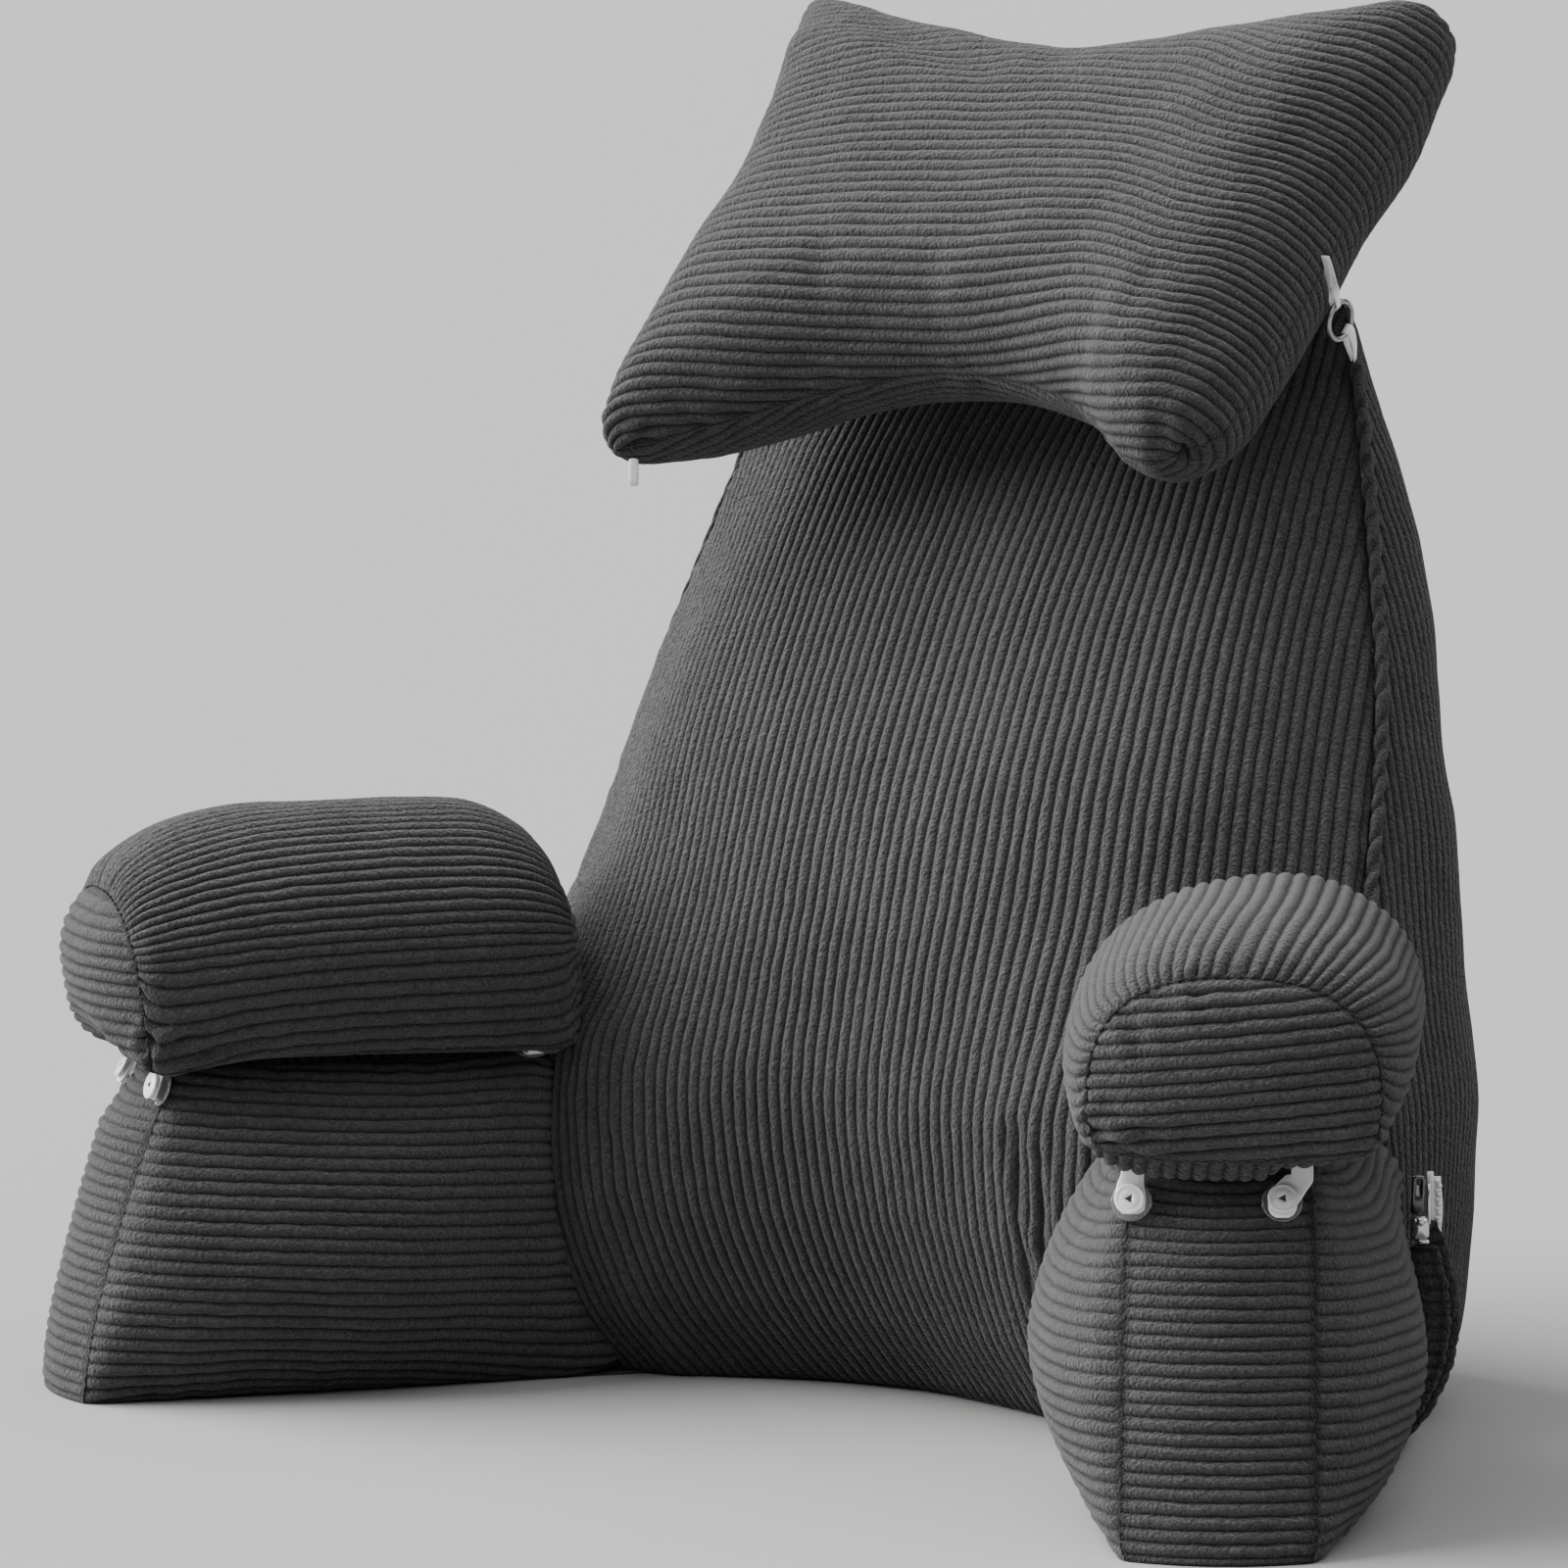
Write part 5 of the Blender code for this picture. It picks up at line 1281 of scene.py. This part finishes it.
def welded(verts, faces, reach=0.001):
    """Merge points that coincide and drop the faces that this empties."""
    keys = {}
    place = [keys.setdefault(tuple(np.round(np.asarray(v) / reach).astype(int)), len(keys)) for v in verts]
    merged = np.zeros((len(keys), 3))
    for v, i in zip(verts, place):
        merged[i] = v
    out = []
    for face in faces:
        ring = [place[i] for i in face]
        ring = [i for k, i in enumerate(ring) if i != ring[k - 1]]
        if len(set(ring)) >= 3:
            out.append(tuple(ring))
    return merged, out


def joined(parts):
    """Several lists of points and faces as one."""
    verts, faces = np.zeros((0, 3)), []
    for part_verts, part_faces in parts:
        faces = faces + [tuple(i + len(verts) for i in f) for f in part_faces]
        verts = np.vstack([verts, part_verts])
    return verts, faces


ZIP_ALONG = 211.0
FLAP_LEVELS = np.arange(4.0, 99.0, 0.8)
FLAP_TOP = 96.0
FLAP_LAYERS = ((1.6, -3.6, 1.2, 88.0), (-1.4, 0.0, 1.3, 100.0))  # forward, extra reach, half thickness, top
FLAP_PITCH = 5.4
FLAP_INNER = (2, 60, 85, 90, 100), (-14.0, -17.0, -15.0, -6.0, 0.0)
FLAP_OUTER = (2, 14, 40, 80, 92, 99), (-2.0, 0.5, 2.0, 3.0, 4.0, 3.0)
FLAP_SECTION = (
    (0, -0.6), (0.3, -0.7), (0.6, -1.0), (0.8, -0.75), (0.92, -0.95), (1, -0.3), (1, 0.3),
    (0.92, 0.95), (0.6, 1), (0.3, 0.7), (0, 0.6),
)
FLAP_SHADED_FOLD = 0.75
TEETH = np.arange(87.5, 116.0, 1.9)
TOOTH_SIZE = (2.1, 1.15, 1.5)
PULL_SIZE = (5.6, 16.4, 1.5)
SLIDER = (  # side, front and up from the middle, size, corner, dome
    ((0.0, 0.0, 0.0), (7.8, 9.8, 4.4), 2.1, 1.2),
    ((0.0, 2.4, 3.2), (3.0, 3.4, 2.4), 0.9, 0.4),
    ((1.6, 0.0, -5.6), (4.8, 1.8, 3.4), 0.7, 0.4),
    ((3.6, 0.0, 10.0), (1.7, 17.0, 2.4), 0.6, 0.2),
)


def build_flap(axes, tree, cloth):
    """The cloth flap, two layers thick, that stands up beside the zip, with painted shade in its grooves, its
    folds and the gap by the arm.
    """
    foot, along, out = axes
    layers, flap_painted_shade = [], []
    for layer, (forward, longer, half, top) in enumerate(FLAP_LAYERS):
        grid = []
        for z in FLAP_LEVELS[FLAP_LEVELS < top]:
            level = min(z, FLAP_TOP)
            start = foot + along * (ZIP_ALONG + 2.0 - forward) + out * 200.0 + UP * level
            hit = tree.ray_cast(Vector(start * MM), Vector(-out))[0]
            root = np.array(hit) / MM + UP * (z - level)
            wale = float(wale_profile(((z / FLAP_PITCH + 0.5 * layer) % 1.0) - 0.5))
            low = float(smooth_curve(*FLAP_INNER, z))
            high = float(smooth_curve(*FLAP_OUTER, z)) + longer
            high = high + 0.7 * wale + 0.5 * float(GATHER.along(np.array([z * 1.5]))[0])
            thick = half * (0.55 + 0.6 * wale)
            grid.append([root + out * (low + x * (high - low)) + along * y * thick for x, y in FLAP_SECTION])
            for x, y in FLAP_SECTION:
                # painted shade: dark in the wale grooves, in the gap by the arm where x is small, and along
                # the folded edges
                tone = (0.15 + 0.85 * wale) * (0.1 + 0.9 * ease(x / 0.7))
                flap_painted_shade.append(tone * (0.4 if abs(y) == FLAP_SHADED_FOLD else 1.0))
        grid = np.array(grid)
        layers.append((grid.reshape(-1, 3), closed_tube(*grid.shape[:2])))
    flap = piece("zip_flap_cord", *joined(layers), [cloth], "charcoal_corduroy", "zip_flap")
    set_painted_shade_and_tone(flap, np.array(flap_painted_shade))


def build_zip(tape, chrome, dark):
    """The light end of the zip's tape with its teeth, the slider and the pull."""
    centre = node_points("zip_tape").mean(axis=0) + shown(side=3.0)
    path = [centre + shown(side=0.5 * math.sin(z / 5.0), up=z - centre[2]) for z in np.linspace(84, 118, 17)]
    parts = [strip_mesh(path, CAMERA_SIDE, [1.3] * len(path), 1.2)]
    upright = (CAMERA_SIDE, UP, -CAMERA_FRONT)
    for k, z in enumerate(TEETH):
        at = centre + shown(2.5 + 0.8 * (k % 2), 0.6, z - centre[2])
        parts.append(slab(at, upright, TOOTH_SIZE, 0.4))
    edge = [p + shown(2.4, -0.6) for p in path[2:-1]]
    parts.append(strip_mesh(edge, CAMERA_SIDE, [1.9] * len(edge), 0.7))
    piece("zip_tape_end", *joined(parts), [tape], "white_satin_tape", "zip_tape")

    centre = node_points("zip_slider").mean(axis=0) + shown(-6.9, 3.0, 1.2)
    parts = [slab(centre + shown(*at), upright, size, corner, dome=dome) for at, size, corner, dome in SLIDER]
    piece("zip_slider_body", *joined(parts), [chrome], "chrome_metal", "zip_slider")

    centre = node_points("zip_pull").mean(axis=0) + shown(3.2, 4.7, -1.2)
    lean = unit(shown(side=0.04, up=1.0))
    leaning = (-np.cross(lean, CAMERA_FRONT), lean, -CAMERA_FRONT)
    verts, faces = slab(centre, leaning, PULL_SIZE, 1.8, hole=(1.1, 5.2))
    piece("zip_pull_tab", verts, faces, [dark], "chrome_metal", "zip_pull")


# ---------------------------------------------------------------- main
def main():
    cloth = corduroy_material("charcoal_pile", (0.0385, 0.0385, 0.0388))
    tape = tape_material("satin_tape")
    clear = plastic_material("clear_plastic", 0.28, 0.45, 0.7)
    # near-black plastic that paints shade into the studs' holes
    hole_painted_shade = plastic_material("stud_hole_painted_shade", 0.03, 0.08, 0.0)
    nickel = metal_material("nickel_wire", 0.2, 0.4, 0.3)
    milky = plastic_material("milky_plastic", 0.6, 0.9, 0.15)
    chrome = metal_material("bright_metal", 0.42, 0.62, 0.2)
    dark = metal_material("dark_metal", 0.05, 0.16, 0.22)
    backrest_tree = tree_of("backrest")
    build_backrest(cloth, [tree_of("arm_right"), tree_of("arm_left")])
    for row, side in zip(ARM_ROWS, ("right", "left")):
        build_arm("arm_" + side, row, cloth, backrest_tree)
        build_bolster(side, row, cloth)
    neck = build_neck(cloth, backrest_tree).data
    pillow = BVHTree.FromPolygons([v.co for v in neck.vertices], [p.vertices for p in neck.polygons])
    for side in ("left", "right"):
        for place in ("front_inner", "front_outer", "rear_inner", "rear_outer"):
            prefix = "tab_" + side + "_" + place
            build_stud(prefix, clear, milky, hole_painted_shade)
            soft_copy(prefix + "_tape", tape)
        build_ring(side, nickel, tape, pillow)
    soft_copy("corner_tape", tape, (4.0, 0.0, 1.0))
    build_flap(arm_axes(ARM_ROWS[0]), tree_of("arm_right"), cloth)
    build_zip(tape, chrome, dark)
    place_camera()
    studio()


main()
